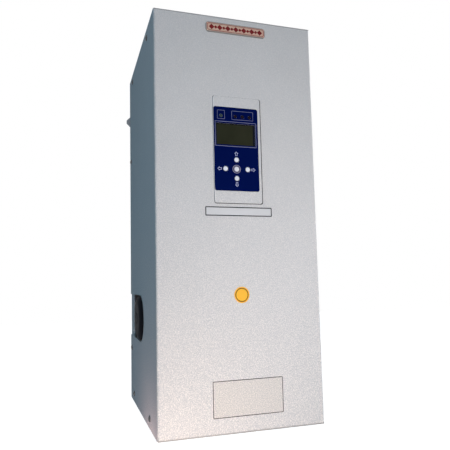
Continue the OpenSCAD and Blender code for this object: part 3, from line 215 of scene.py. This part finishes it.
def surface(name, colour, *, roughness=0.5, metallic=0.0, grain=400.0, depth=0.05 * MM, variation=0.06,
            spread=0.08, coat=0.0, squeeze=(1, 1, 1), mottle=30.0, edge=None, specular=0.5):
    """A finish with slow colour drift, fine grain in its bump and uneven roughness.

    grain and mottle are the lumps of the fine and of the slow noise in a metre, depth is the height of
    the grain, variation is how far the colour drifts, and spread is how far the roughness does. squeeze
    makes the grain shorter along an axis, or longer where it is under 1. edge is the colour that shows
    where convex edges are rubbed.
    """
    material, tree, shader = new_material(name)
    drift = noise(tree, object_point(tree), mottle)
    fine = noise(tree, object_point(tree, squeeze), grain, detail=4.0)
    base = ramp(tree, drift, DRIFT_STOPS, (tone(colour, 1 - variation), tone(colour, 1 + variation)))
    base = mix_colour(tree, span(tree, fine, 0.0, variation), base, tone(colour, GRAIN_TONE))
    if edge:
        base = mix_colour(tree, edge_wear(tree), base, edge)
    fill(tree, shader, {"Base Color": base, "Metallic": metallic, "Coat Weight": coat,
                        "Roughness": span(tree, fine, roughness - spread, roughness + spread),
                        "Specular IOR Level": specular, "Normal": bump(tree, fine, depth)})
    return material


# Textured powder coat: lumps, grains, drift and flecks in a metre
LUMPS_PER_M = 480.0
GRAINS_PER_M = 1500.0
COAT_DRIFT_PER_M = 14.0
FLECKS_PER_M = 780.0
GRAIN_HEIGHT_SHARE = 0.3
COAT_DEPTH = 0.6 * MM
COAT_TONES = (0.975, 1.02)
COAT_ROUGHNESS = (0.70, 0.85)
COAT_SPECULAR = 0.02
# The flecks go from cool and dark through the plain colour to warm and light
FLECK_STOPS = (0.36, 0.47, 0.55, 0.61)
COOL_TINT = (0.75, 0.79, 0.83)
WARM_TINT = (1.34, 1.29, 1.24)
# Heights between which the flecks fade, and how much of them is left above
FLECKS_FULL_Z = up(60.0)
FLECKS_FAINT_Z = up(380.0)
FAINT_SHARE = 0.34


def powder_coat(name, colour):
    """Textured powder coat: soft lumps of two sizes, and flecks that show most towards the bottom."""
    material, tree, shader = new_material(name)
    point = object_point(tree)
    lumps = noise(tree, point, LUMPS_PER_M, detail=2.0, roughness=0.5)
    grains = noise(tree, point, GRAINS_PER_M, detail=2.0, roughness=0.6)
    drift = noise(tree, point, COAT_DRIFT_PER_M, detail=2.0)
    flecks = noise(tree, point, FLECKS_PER_M, detail=2.0, roughness=0.6)
    plain = ramp(tree, drift, DRIFT_STOPS, [tone(colour, factor) for factor in COAT_TONES])
    flecked = ramp(tree, flecks, FLECK_STOPS,
                   (tinted(colour, COOL_TINT), colour, colour, tinted(colour, WARM_TINT)))
    place = add_node(tree, "SeparateXYZ", {"Vector": point})
    risen = share_of(tree, place.outputs["Z"], FLECKS_FULL_Z, FLECKS_FAINT_Z)
    share = span(tree, risen, 1.0, FAINT_SHARE)
    height = maths(tree, "MULTIPLY_ADD", grains, GRAIN_HEIGHT_SHARE, lumps)
    fill(tree, shader, {"Base Color": mix_colour(tree, share, plain, flecked),
                        "Roughness": span(tree, lumps, *COAT_ROUGHNESS),
                        "Specular IOR Level": COAT_SPECULAR, "Normal": bump(tree, height, COAT_DEPTH)})
    return material


# Display glass
GLASS_COLOURS = ((0.018, 0.020, 0.011), (0.026, 0.028, 0.016))
GLASS_DRIFT_PER_M = 25.0
GLASS_RIPPLES_PER_M = 900.0
GLASS_RIPPLE_DEPTH = 0.008 * MM
GLASS_ROUGHNESS = (0.10, 0.18)
GLASS_SPECULAR = 0.03


def lcd_glass(name):
    """Dark olive display glass, with slow drift and a faint ripple in its gloss."""
    material, tree, shader = new_material(name)
    point = object_point(tree)
    drift = noise(tree, point, GLASS_DRIFT_PER_M, detail=2.0)
    ripples = noise(tree, point, GLASS_RIPPLES_PER_M, detail=2.0)
    fill(tree, shader, {"Base Color": ramp(tree, drift, DRIFT_STOPS, GLASS_COLOURS),
                        "Roughness": span(tree, drift, *GLASS_ROUGHNESS),
                        "Specular IOR Level": GLASS_SPECULAR,
                        "Normal": bump(tree, ripples, GLASS_RIPPLE_DEPTH)})
    return material


# Badge resin and its greyer border
RESIN_COLOURS = ((0.62, 0.32, 0.26), (0.58, 0.42, 0.32))
RESIN_STOPS = (0.35, 0.65)
RESIN_DRIFT_PER_M = 70.0
RESIN_DEPTH = 0.02 * MM
RESIN_ROUGHNESS = (0.12, 0.20)
RESIN_COAT = 0.5
RESIN_SPECULAR = 0.2
BADGE_BORDER = 1.5 * MM
BADGE_SOFT = 0.3 * MM
BADGE_BORDER_COLOUR = (0.27, 0.25, 0.235)


def plate_border(tree, low, high, width, soft):
    """1 in the outer border of a plate that faces the front, and 0 inside it."""
    from_middle = vector_maths(tree, "SUBTRACT", object_point(tree), middle(low, high))
    reach = vector_maths(tree, "ABSOLUTE", from_middle)
    past_edge = vector_maths(tree, "SUBTRACT", reach, (high - low) / 2)
    past = add_node(tree, "SeparateXYZ", {"Vector": past_edge}).outputs
    outer = maths(tree, "MAXIMUM", past["X"], past["Z"])
    return share_of(tree, outer, -width - soft, -width + soft)


def badge_resin(name):
    """Tinted resin with a greyer border, as on a doming label."""
    material, tree, shader = new_material(name)
    drift = noise(tree, object_point(tree), RESIN_DRIFT_PER_M, detail=2.0)
    ground = ramp(tree, drift, RESIN_STOPS, RESIN_COLOURS)
    border = plate_border(tree, badge_low, badge_high, BADGE_BORDER, BADGE_SOFT)
    fill(tree, shader, {"Base Color": mix_colour(tree, border, ground, BADGE_BORDER_COLOUR),
                        "Roughness": span(tree, drift, *RESIN_ROUGHNESS), "Coat Weight": RESIN_COAT,
                        "Specular IOR Level": RESIN_SPECULAR, "Normal": bump(tree, drift, RESIN_DEPTH)})
    return material


# Keys: a white spot on each crown, with film down the sides
OVERLAY_BLUE = (0.0006, 0.0050, 0.062)
ENTER_MAUVE = (0.26, 0.25, 0.36)
KEY_WHITE = (0.76, 0.78, 0.84)
KEY_TONES = (0.97, 1.03)
KEY_GRAIN_PER_M = 700.0
KEY_DEPTH = 0.006 * MM
KEY_ROUGHNESS = (0.38, 0.46)
KEY_SPECULAR = 0.05
SPOT_R = 3.4 * MM
SPOT_SOFT = 0.2 * MM
# Keeps a place's X and Z, and drops its depth
FRONT_PLANE = Vector((1, 0, 1))


def printed_key(node):
    """A white spot on the crown of a key, with coloured film down its sides."""
    material, tree, shader = new_material(node + "_print")
    side_colour = ENTER_MAUVE if node == "key_enter" else OVERLAY_BLUE
    centre = middle(*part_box(node)) * FRONT_PLANE
    away = vector_maths(tree, "DISTANCE", object_point(tree, FRONT_PLANE), centre)
    outside = share_of(tree, away, SPOT_R - SPOT_SOFT, SPOT_R + SPOT_SOFT)
    drift = noise(tree, object_point(tree), KEY_GRAIN_PER_M, detail=4.0)
    white = ramp(tree, drift, DRIFT_STOPS, [tone(KEY_WHITE, factor) for factor in KEY_TONES])
    fill(tree, shader, {"Base Color": mix_colour(tree, outside, white, side_colour),
                        "Roughness": span(tree, drift, *KEY_ROUGHNESS),
                        "Specular IOR Level": KEY_SPECULAR, "Normal": bump(tree, drift, KEY_DEPTH)})
    return material


# Finishes of the solids, by the record's material slots

CASING_GREY = (0.61, 0.61, 0.62)
finishes = {
    "casing_paint": powder_coat("casing_powder_coat", CASING_GREY),
    "zinc_sheet": surface("zinc_sheet", (0.23, 0.255, 0.28), roughness=0.50, metallic=0.8, grain=260.0,
                          depth=0.03 * MM, variation=0.14, spread=0.12, mottle=160.0),
    "zinc_fasteners": surface("zinc_plate", (0.36, 0.37, 0.38), roughness=0.42, metallic=0.95,
                              grain=900.0, depth=0.01 * MM, variation=0.08, spread=0.1),
    "screw_paint": surface("dark_plated_screw", (0.025, 0.03, 0.035), roughness=0.38, metallic=0.4,
                           grain=900.0, depth=0.02 * MM, edge=(0.20, 0.21, 0.22)),
    "black_rubber": surface("black_rubber", (0.02, 0.02, 0.02), roughness=0.75, grain=1200.0,
                            depth=0.04 * MM, variation=0.15),
    "overlay_blue": surface("overlay_film", OVERLAY_BLUE, roughness=0.38, grain=1600.0,
                            depth=0.015 * MM, variation=0.02, spread=0.05, specular=0.005),
    "lcd_glass": lcd_glass("display_glass"),
    "lcd_body": surface("display_module", (0.05, 0.055, 0.04)),
    "board_green": surface("circuit_board", (0.02, 0.12, 0.05), roughness=0.45, grain=500.0,
                           depth=0.02 * MM, variation=0.15),
    "black_plastic": surface("black_plastic", (0.022, 0.022, 0.025), grain=1400.0, depth=0.03 * MM,
                             variation=0.12),
    "led_green": surface("lamp_green", (0.042, 0.060, 0.062), roughness=0.3, coat=0.05, specular=0.12),
    "led_red": surface("lamp_red", (0.009, 0.005, 0.010), roughness=0.4, specular=0.08),
    "badge_cream": badge_resin("badge_resin"),
    "stainless": surface("stainless_steel", (0.27, 0.275, 0.28), roughness=0.34, metallic=1.0,
                         grain=700.0, depth=0.01 * MM, variation=0.08, spread=0.1, squeeze=(1, 1, 0.08)),
    "brass": surface("brass", (0.60, 0.42, 0.16), roughness=0.34, metallic=1.0, grain=500.0,
                     depth=0.02 * MM, variation=0.12),
    "element_steel": surface("element_sheath", (0.30, 0.30, 0.30), roughness=0.45, metallic=0.9,
                             grain=500.0, depth=0.03 * MM, variation=0.20),
    "pump_iron": surface("pump_casting", (0.045, 0.05, 0.06), roughness=0.55, metallic=0.2,
                         grain=380.0, depth=0.2 * MM, variation=0.15),
    "motor_black": surface("motor_black", (0.009, 0.010, 0.014), roughness=0.62, grain=700.0,
                           depth=0.08 * MM, variation=0.10, spread=0.1, edge=(0.03, 0.03, 0.035),
                           specular=0.02),
    "copper": surface("copper_winding", (0.45, 0.18, 0.07), roughness=0.38, metallic=0.8, grain=300.0,
                      depth=0.2 * MM, variation=0.2, squeeze=(1, 1, 6)),
    "carbon": surface("carbon_bush", (0.05, 0.05, 0.05)),
    "impeller_plastic": surface("impeller_plastic", (0.55, 0.45, 0.26), roughness=0.45),
    "knob_grey": surface("knob_grey", (0.42, 0.43, 0.45), roughness=0.45),
    "thermostat_cream": surface("thermostat_body", (0.68, 0.63, 0.50)),
    "reset_red": surface("reset_button", (0.40, 0.03, 0.03), roughness=0.3, coat=0.3),
    "block_cream": surface("terminal_block", (0.56, 0.54, 0.44)),
    "sink_aluminium": surface("heat_sink_aluminium", (0.42, 0.43, 0.45), roughness=0.38, metallic=0.95,
                              grain=500.0, depth=0.02 * MM, variation=0.08, squeeze=(1, 1, 0.1)),
    "gland_grey": surface("gland_nylon", (0.07, 0.075, 0.08), grain=900.0, depth=0.03 * MM,
                          variation=0.12),
}

for entry in frame["record"]["subparts"]:
    node = entry["node"]
    slot = entry["material_slot"]
    slots = nodes[node].data.materials
    slots.clear()
    slots.append(printed_key(node) if slot == "key_white" else finishes[slot])

# Finishes of the print and the trim, and of the painted shade, shadow and highlight

INK_GRAIN = 0.01 * MM


def satin_ink(name, colour):
    return surface(name, colour, roughness=0.4, grain=900.0, depth=INK_GRAIN, variation=0.05)


def dull_ink(name, colour, variation, grain=900.0, roughness=0.5):
    return surface(name, colour, roughness=roughness, grain=grain, depth=INK_GRAIN, variation=variation,
                   specular=0.05)


arrow_white = satin_ink("print_white", (0.42, 0.45, 0.70))
panel_line = satin_ink("print_line", (0.125, 0.135, 0.25))
ring_mauve = satin_ink("print_mauve", ENTER_MAUVE)
# Near black of the display module's edge, also the painted shade in the display's recess
module_edge_and_shade_black = dull_ink("module_edge_and_painted_shade", (0.004, 0.005, 0.009), variation=0.15)
# Dark ink of the labels' printed lines, also the colour of the painted shadow round the bezel plate
dark_print_and_shadow = dull_ink("dark_print_and_painted_shadow", (0.02, 0.021, 0.024), variation=0.15)
# Greys of the painted shade along the front sheet's top and bottom bends
top_bend_shade_grey = dull_ink("painted_shade_top_bend", (0.34, 0.34, 0.35), variation=0.10)
bottom_bend_shade_grey = dull_ink("painted_shade_bottom_bend", (0.36, 0.355, 0.35), variation=0.10)
# Pale colour of the painted highlight along the bezel plate's left edge
painted_highlight_pale = dull_ink("painted_edge_highlight", (0.80, 0.80, 0.81), variation=0.05)
marker_amber = dull_ink("marker_amber", (0.86, 0.46, 0.045), variation=0.04, grain=700.0, roughness=0.45)
marker_brown = dull_ink("marker_brown", (0.14, 0.055, 0.008), variation=0.10, grain=700.0,
                        roughness=0.45)
badge_red = surface("print_red", (0.17, 0.010, 0.012), roughness=0.3, grain=600.0, depth=INK_GRAIN,
                    variation=0.15, coat=0.1, specular=0.1)
title_film = surface("label_film", (0.60, 0.61, 0.63), roughness=0.36, grain=700.0, depth=0.02 * MM,
                     variation=0.03, specular=0.1)
notice_film = powder_coat("notice_film", (0.594, 0.580, 0.570))

# Outlines, as points (x, z) that go anticlockwise seen from the front

# The least cosine that an inset divides by, so that a sharp corner moves in no further
SHARPEST = 0.35


def rounded_outline(low_x, high_x, low_z, high_z, radius, steps=6):
    """A rectangle with round corners."""
    points = []
    corners = ((high_x, low_z, -90), (high_x, high_z, 0), (low_x, high_z, 90), (low_x, low_z, 180))
    for x, z, start in corners:
        centre_x = x - radius if x == high_x else x + radius
        centre_z = z + radius if z == low_z else z - radius
        for i in range(steps + 1):
            angle = math.radians(start + 90 * i / steps)
            points.append((centre_x + radius * math.cos(angle), centre_z + radius * math.sin(angle)))
    return points


def box_outline(low, high, radius, left=0.0, right=0.0, below=0.0, above=0.0):
    """The front of a box, grown by the amounts given for its sides, with round corners."""
    return rounded_outline(low.x - left, high.x + right, low.z - below, high.z + above, radius)


def circle_outline(x, z, radius, steps=40):
    turn = 2 * math.pi / steps
    return [(x + radius * math.cos(turn * i), z + radius * math.sin(turn * i)) for i in range(steps)]


def inset_outline(points, amount):
    """The same outline moved inwards by amount, by its corners' normals."""
    moved = []
    count = len(points)
    for i in range(count):
        before = Vector(points[i - 1])
        here = Vector(points[i])
        after = Vector(points[(i + 1) % count])
        first = (here - before).normalized()
        second = (after - here).normalized()
        normal = Vector((-first.y, first.x))
        bisector = (normal + Vector((-second.y, second.x))).normalized()
        moved.append(tuple(here + bisector * amount / max(SHARPEST, bisector.dot(normal))))
    return moved


# Pieces

FILM_T = 0.15 * MM
INK_T = 0.05 * MM


def add_piece(name, made, material):
    """Turns closed bmesh shells into a piece that rides on the casing."""
    bmesh.ops.recalc_face_normals(made, faces=made.faces)
    mesh = bpy.data.meshes.new(name)
    made.to_mesh(mesh)
    made.free()
    mesh.materials.append(material)
    piece = bpy.data.objects.new(name, mesh)
    bpy.context.scene.collection.objects.link(piece)
    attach(piece, "casing")
    return piece


def join_rows(made, first, second):
    """A band of faces between two closed rows of as many points."""
    count = len(first)
    for i in range(count):
        j = (i + 1) % count
        made.faces.new((first[i], first[j], second[j], second[i]))


def film(name, material, outlines, back_y, thickness=INK_T, holes=()):
    """Thin plates with their backs at back_y. Holes match the outlines by place."""
    made = bmesh.new()
    for index, outline in enumerate(outlines):
        rims = []
        for points in (outline, *holes[index:index + 1]):
            front = [made.verts.new((x, back_y - thickness, z)) for x, z in points]
            back = [made.verts.new((x, back_y, z)) for x, z in points]
            join_rows(made, front, back)
            rims.append((front, back))
        if len(rims) > 1:
            for outer, inner in zip(*rims):
                join_rows(made, outer, inner)
        else:
            for row in rims[0]:
                made.faces.new(row)
    add_piece(name, made, material)


def outline_ring(name, material, outline, width, back_y):
    """A printed line of some width, just inside an outline."""
    film(name, material, [outline], back_y, holes=[inset_outline(outline, width)])


def circle_ring(name, material, x, z, radius, width, back_y):
    """A printed ring of some width, just inside a circle."""
    film(name, material, [circle_outline(x, z, radius)], back_y,
         holes=[circle_outline(x, z, radius - width)])


# Two bare labels on the front, each a film with a printed line a little in from its edge
LABEL_MARGIN = 0.15 * MM
TITLE_SIDES = (-51.8 * MM, 50.0 * MM)
TITLE_ENDS = (up(301.9), up(315.5))
TITLE_R = 1.2 * MM
TITLE_LINE = 1.4 * MM
NOTICE_SIDES = (-46.0 * MM, 58.8 * MM)
NOTICE_ENDS = (up(22.5), up(72.5))
NOTICE_R = 1.5 * MM
NOTICE_LINE = 0.95 * MM
labels = (("title_strip", title_film, TITLE_SIDES, TITLE_ENDS, TITLE_R, TITLE_LINE),
          ("notice_plate", notice_film, NOTICE_SIDES, NOTICE_ENDS, NOTICE_R, NOTICE_LINE))
for name, material, (left_x, right_x), (low_z, high_z), radius, line in labels:
    film(name, material, [rounded_outline(left_x, right_x, low_z, high_z, radius)], FRONT_Y, FILM_T)
    line_outline = rounded_outline(left_x + LABEL_MARGIN, right_x - LABEL_MARGIN, low_z + LABEL_MARGIN,
                                   high_z - LABEL_MARGIN, radius - LABEL_MARGIN / 2)
    outline_ring(name + "_border", dark_print_and_shadow, line_outline, line, FRONT_Y - FILM_T)

# Round marker below the title strip, with a ring near its edge
MARKER_R = 11.5 * MM
MARKER_Z = up(189.5)
MARKER_RING_IN = 1.6 * MM
MARKER_RING_W = 1.3 * MM
film("round_marker", marker_amber, [circle_outline(0.0, MARKER_Z, MARKER_R)], FRONT_Y, FILM_T)
circle_ring("marker_ring", marker_brown, 0.0, MARKER_Z, MARKER_R - MARKER_RING_IN, MARKER_RING_W,
            FRONT_Y - FILM_T)

# Painted shadow round the bezel plate: a dark strip on the front sheet under the plate, widest past its
# right edge
SHADOW_LEFT = 0.05 * MM
SHADOW_RIGHT = 1.9 * MM
SHADOW_LOW = 0.8 * MM
SHADOW_TOP = 0.95 * MM
BEZEL_R = 3.0 * MM
shadow_outline = box_outline(bezel_low, bezel_high, BEZEL_R, left=SHADOW_LEFT, right=SHADOW_RIGHT, below=SHADOW_LOW,
                          above=SHADOW_TOP)
film("bezel_painted_shadow", dark_print_and_shadow, [shadow_outline], FRONT_Y, holes=[box_outline(bezel_low, bezel_high, BEZEL_R)])

# Painted highlight: a pale strip along the left edge of the bezel plate, lightening its shaded edge
HIGHLIGHT_W = 0.8 * MM
HIGHLIGHT_R = 0.3 * MM
highlight_outline = rounded_outline(bezel_low.x, bezel_low.x + HIGHLIGHT_W, bezel_low.z + BEZEL_R,
                              bezel_high.z - BEZEL_R, HIGHLIGHT_R)
film("bezel_painted_highlight", painted_highlight_pale, [highlight_outline], bezel_low.y)

# Painted shade: soft grey lines on the front where the sheet turns over its top and bottom edges
BEND_IN = 0.6 * MM
BEND_R = 0.4 * MM
TOP_BEND_FROM = 0.7 * MM
TOP_BEND_TO = 2.0 * MM
BOTTOM_BEND_FROM = 0.2 * MM
BOTTOM_BEND_TO = 1.8 * MM
bends = (("top_bend_painted_shade", top_bend_shade_grey, cover_high.z - TOP_BEND_TO, cover_high.z - TOP_BEND_FROM),
         ("bottom_bend_painted_shade", bottom_bend_shade_grey, cover_low.z + BOTTOM_BEND_FROM,
          cover_low.z + BOTTOM_BEND_TO))
for name, material, low_z, high_z in bends:
    bend_outline = rounded_outline(cover_low.x + BEND_IN, cover_high.x - BEND_IN, low_z, high_z, BEND_R)
    film(name, material, [bend_outline], FRONT_Y)

# Badge: a thin printed line and a row of lozenges on the resin, every other one smaller
BADGE_LINE_IN = 2.2 * MM
BADGE_LINE_R = 3.4 * MM
BADGE_LINE_W = 0.7 * MM
LOZENGES = 13
LOZENGE_PITCH = 6.3 * MM
LOZENGE_HALF = 4.3 * MM
SMALL_HALF = 2.6 * MM
badge_middle = middle(badge_low, badge_high)
badge_line = rounded_outline(badge_low.x + BADGE_LINE_IN, badge_high.x - BADGE_LINE_IN,
                             badge_low.z + BADGE_LINE_IN, badge_high.z - BADGE_LINE_IN, BADGE_LINE_R)
outline_ring("badge_line", badge_red, badge_line, BADGE_LINE_W, BADGE_Y)
lozenges = []
for i in range(LOZENGES):
    x = badge_middle.x + (i - (LOZENGES - 1) / 2) * LOZENGE_PITCH
    z = badge_middle.z
    half = SMALL_HALF if i % 2 else LOZENGE_HALF
    lozenges.append([(x - half, z), (x, z - half), (x + half, z), (x, z + half)])
film("badge_lozenges", badge_red, lozenges, BADGE_Y)

# Print on the keypad overlay: a line round the display and round the lamps
LINE_W = 0.9 * MM
LINE_R = 0.8 * MM
LINE_OUT_LEFT = 1.8 * MM
LINE_OUT_RIGHT = 1.9 * MM
LINE_OUT_LOW = 2.6 * MM
LINE_OUT_TOP = 2.9 * MM
LAMP_LINE_W = 0.6 * MM
LAMP_LINE_R = 1.2 * MM
LAMP_LINE_HALF_X = 5.85 * MM
LAMP_LINE_HALF_Z = 6.7 * MM
LAMP_LINE_UP = 1.45 * MM
display_line = box_outline(window_low, window_high, LINE_R, left=LINE_OUT_LEFT, right=LINE_OUT_RIGHT,
                           below=LINE_OUT_LOW, above=LINE_OUT_TOP)
outline_ring("display_line", panel_line, display_line, LINE_W, OVERLAY_Y)
for name, node in (("power_lamp_line", "power_led"), ("heating_lamp_line", "heating_leds")):
    lamps_low, lamps_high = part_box(node)
    lamp_r = (lamps_high.z - lamps_low.z) / 2
    reach_x = LAMP_LINE_HALF_X - lamp_r
    line_z = middle(lamps_low, lamps_high).z + LAMP_LINE_UP
    lamp_line = rounded_outline(lamps_low.x - reach_x, lamps_high.x + reach_x, line_z - LAMP_LINE_HALF_Z,
                                line_z + LAMP_LINE_HALF_Z, LAMP_LINE_R)
    outline_ring(name, panel_line, lamp_line, LAMP_LINE_W, OVERLAY_Y)

# The dark edge of the display module, seen through the display glass, with painted shade of the display's
# recess that makes it widest at the right and the top
MASK_SIDE = 0.5 * MM
MASK_RIGHT = 3.3 * MM
MASK_TOP = 1.3 * MM
MASK_R = 0.3 * MM
mask_hole = box_outline(window_low, window_high, MASK_R, left=-MASK_SIDE, right=-MASK_RIGHT,
                        below=-MASK_SIDE, above=-MASK_TOP)
film("display_edge_and_painted_shade", module_edge_and_shade_black, [box_outline(window_low, window_high, MASK_R)], window_low.y,
     holes=[mask_hole])

# Arrows beside the keys and a ring round the enter key
ARROW_HALF = 3.2 * MM
ARROW_HEAD = 3.0 * MM
ARROW_HEAD_HALF = 3.0 * MM
ARROW_STEM_HALF = 1.6 * MM
ARROW_OUT_X = 25.9 * MM
ARROW_OUT_Z = 22.65 * MM
ARROW_LINE = 0.6 * MM
RING_R = 6.25 * MM
RING_W = 0.9 * MM


def arrow_outline(x, z, angle):
    """A block arrow that points along angle, about its middle."""
    neck = ARROW_HALF - ARROW_HEAD
    points = [(ARROW_HALF, 0), (neck, ARROW_HEAD_HALF), (neck, ARROW_STEM_HALF),
              (-ARROW_HALF, ARROW_STEM_HALF), (-ARROW_HALF, -ARROW_STEM_HALF), (neck, -ARROW_STEM_HALF),
              (neck, -ARROW_HEAD_HALF)]
    turn = math.radians(angle)
    return [(x + a * math.cos(turn) - b * math.sin(turn), z + a * math.sin(turn) + b * math.cos(turn))
            for a, b in points]


enter = middle(*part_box("key_enter"))
arrow_places = ((0, ARROW_OUT_Z, 90), (0, -ARROW_OUT_Z, -90), (-ARROW_OUT_X, 0, 180), (ARROW_OUT_X, 0, 0))
arrows = [arrow_outline(enter.x + out_x, enter.z + out_z, angle) for out_x, out_z, angle in arrow_places]
film("arrow_lines", arrow_white, arrows, OVERLAY_Y,
     holes=[inset_outline(arrow, ARROW_LINE) for arrow in arrows])
circle_ring("enter_ring", ring_mauve, enter.x, enter.z, RING_R, RING_W, OVERLAY_Y)

# Threads on the pipe ends: a fine ridge wound round each, running out at both ends
PITCH = 2.309 * MM
STUB_R = 16.6 * MM
THREAD_H = 0.4 * MM
THREAD_HALF = 0.95 * MM
THREAD_SINK = 0.1 * MM
THREAD_END = 2.4 * MM
THREAD_TURNS = 8
TURN_STEPS = 48


def pipe_thread(name, node, from_top):
    """A helical ridge on the free end of a pipe, at its top or at its bottom."""
    low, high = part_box(node)
    axis = middle(low, high)
    hand = 1 if from_top else -1
    start = high.z - THREAD_END if from_top else low.z + THREAD_END
    step_z = -hand * PITCH / TURN_STEPS
    steps = THREAD_TURNS * TURN_STEPS
    made = bmesh.new()
    rings = []
    for i in range(steps + 1):
        angle = hand * 2 * math.pi * i / TURN_STEPS
        run_out = min(1.0, (i + 1) / TURN_STEPS, (steps + 1 - i) / TURN_STEPS)
        z = start + step_z * i
        profile = ((STUB_R - THREAD_SINK, -THREAD_HALF), (STUB_R + THREAD_H * run_out, 0),
                   (STUB_R - THREAD_SINK, THREAD_HALF))
        across = math.cos(angle)
        along = math.sin(angle)
        rings.append([made.verts.new((axis.x + r * across, axis.y + r * along, z + rise))
                      for r, rise in profile])
    for before, after in zip(rings, rings[1:]):
        join_rows(made, before, after)
    made.faces.new(rings[0][::-1])
    made.faces.new(rings[-1])
    add_piece(name, made, finishes["stainless"])


pipe_thread("supply_thread", "supply_pipe", from_top=True)
pipe_thread("return_thread", "return_pipe", from_top=False)

# Camera, at the photograph's viewing angle
FOCAL_PX = 473.43
FRAME_PX = 450
CENTRE_PX = (208.0, 239.0)
SENSOR_MM = 36.0
CLIP_START = 10.0 * MM
CAMERA_AT = (-0.2354, -0.9135, -0.3144)
RIGHT = Vector((0.95969, -0.28035, -0.01987))
FORWARD = Vector((0.28098, 0.95544, 0.0905))

camera_data = bpy.data.cameras.new("camera")
camera_data.sensor_width = SENSOR_MM
camera_data.lens = FOCAL_PX / FRAME_PX * SENSOR_MM
camera_data.shift_x = (FRAME_PX / 2 - CENTRE_PX[0]) / FRAME_PX
camera_data.shift_y = (CENTRE_PX[1] - FRAME_PX / 2) / FRAME_PX
camera_data.clip_start = CLIP_START
forward = FORWARD.normalized()
right = (RIGHT - forward * RIGHT.dot(forward)).normalized()
above = right.cross(forward)
camera = bpy.data.objects.new("camera", camera_data)
camera.matrix_world = (Matrix.Translation(CAMERA_AT)
                       @ Matrix((right, above, -forward)).transposed().to_4x4())
bpy.context.scene.collection.objects.link(camera)
bpy.context.scene.camera = camera

# Sky: bluish light on the object, and plain white where it is looked at
SKY_LIGHT = (0.42, 0.78, 1.0)
SKY_STRENGTH = 0.185
WHITE = (1, 1, 1)


def seen_rays(tree):
    """1 where the camera, a mirror or clear glass looks straight at a surface, else 0."""
    path = tree.nodes.new("ShaderNodeLightPath")
    seen = path.outputs["Is Camera Ray"]
    for name in ("Is Glossy Ray", "Is Transmission Ray"):
        seen = maths(tree, "MAXIMUM", seen, path.outputs[name])
    return seen


world = bpy.data.worlds.new("world")
bpy.context.scene.world = world
world.use_nodes = True
tree = world.node_tree
tree.nodes.clear()
sky_light = add_node(tree, "Background", {"Color": SKY_LIGHT, "Strength": SKY_STRENGTH})
sky_seen = add_node(tree, "Background", {"Color": WHITE, "Strength": 1.0})
sky = add_node(tree, "MixShader", {0: seen_rays(tree), 1: sky_light.outputs[0], 2: sky_seen.outputs[0]})
add_node(tree, "OutputWorld", {"Surface": sky.outputs[0]})

# The floor keeps its shadows near the object, and fades to white away from it where it is looked at.
# It lies FLOOR_DROP metres under the object.
FLOOR_DROP = 0.75
FLOOR_HALF = 12.0
FLOOR_GREY = (0.36, 0.36, 0.36)
FLOOR_ROUGHNESS = 0.9
NEAR_GLOW = 0.86
NEAR_M = 0.7
FAR_M = 1.9
# Keeps a place's X and Y, and drops its height
GROUND_PLANE = (1, 1, 0)
FLOOR_Z = cad_box[0][2] - FLOOR_DROP
floor_mesh = bpy.data.meshes.new("floor")
corners = [(-FLOOR_HALF, -FLOOR_HALF), (FLOOR_HALF, -FLOOR_HALF), (FLOOR_HALF, FLOOR_HALF),
           (-FLOOR_HALF, FLOOR_HALF)]
floor_mesh.from_pydata([(x, y, FLOOR_Z) for x, y in corners], [], [(0, 1, 2, 3)])
floor = bpy.data.objects.new("floor", floor_mesh)
bpy.context.scene.collection.objects.link(floor)
floor_material, tree, shader = new_material("floor_white")
reach = vector_maths(tree, "LENGTH", object_point(tree, GROUND_PLANE))
fade = span(tree, share_of(tree, reach, NEAR_M, FAR_M), NEAR_GLOW, 1.0)
glow = maths(tree, "MULTIPLY", seen_rays(tree), fade)
fill(tree, shader, {"Base Color": FLOOR_GREY, "Roughness": FLOOR_ROUGHNESS, "Specular IOR Level": 0.0,
                    "Emission Color": WHITE, "Emission Strength": glow})
floor_mesh.materials.append(floor_material)

# Lamps: round and soft, and never seen by the camera
DAYLIGHT = (0.97, 0.98, 1.0)


def lamp(name, place, target, size, watts, colour, mirrored=True):
    """A round lamp at a place, turned to a target. One that isn't mirrored leaves no highlight."""
    data = bpy.data.lights.new(name, "AREA")
    data.shape = "DISK"
    data.size = size
    data.energy = watts
    data.color = colour
    light = bpy.data.objects.new(name, data)
    bpy.context.scene.collection.objects.link(light)
    light.visible_camera = False
    light.visible_glossy = mirrored
    light.location = place
    light.rotation_euler = (Vector(target) - Vector(place)).to_track_quat("-Z", "Y").to_euler()


lamp("key_lamp", place=(0.128, -0.92, -0.34), target=(0.03, -0.28, -0.34), size=0.26, watts=3.25,
     colour=(1.0, 0.95, 0.94))
lamp("low_lamp", place=(-0.13, -0.50, -0.63), target=(-0.10, -0.28, -0.48), size=0.14, watts=0.60,
     colour=(1.0, 0.78, 0.64))
lamp("fill_lamp", place=(-0.3, -0.85, 0.3), target=(-0.08, -0.28, 0.0), size=0.3, watts=0.67,
     colour=(1.0, 0.94, 0.93))
lamp("side_lamp", place=(-1.0, -0.62, -0.15), target=(-0.12, -0.14, -0.22), size=0.4, watts=1.2,
     colour=(0.38, 0.68, 0.96))
lamp("foot_lamp", place=(-0.17, -0.25, -0.60), target=(-0.12, -0.2, -0.51), size=0.06, watts=0.12,
     colour=(1.0, 0.68, 0.62))
lamp("right_lamp", place=(1.5, -0.3, 0.5), target=(0.1, -0.15, -0.2), size=0.9, watts=14.0,
     colour=DAYLIGHT, mirrored=False)
lamp("back_lamp", place=(0.5, 1.7, 0.5), target=(0.0, 0.0, -0.2), size=0.9, watts=16.0,
     colour=DAYLIGHT, mirrored=False)
lamp("top_lamp", place=(0.05, -0.1, 1.7), target=(0.0, -0.15, 0.0), size=0.8, watts=9.0,
     colour=DAYLIGHT)

bpy.context.scene.view_settings.view_transform = "Standard"
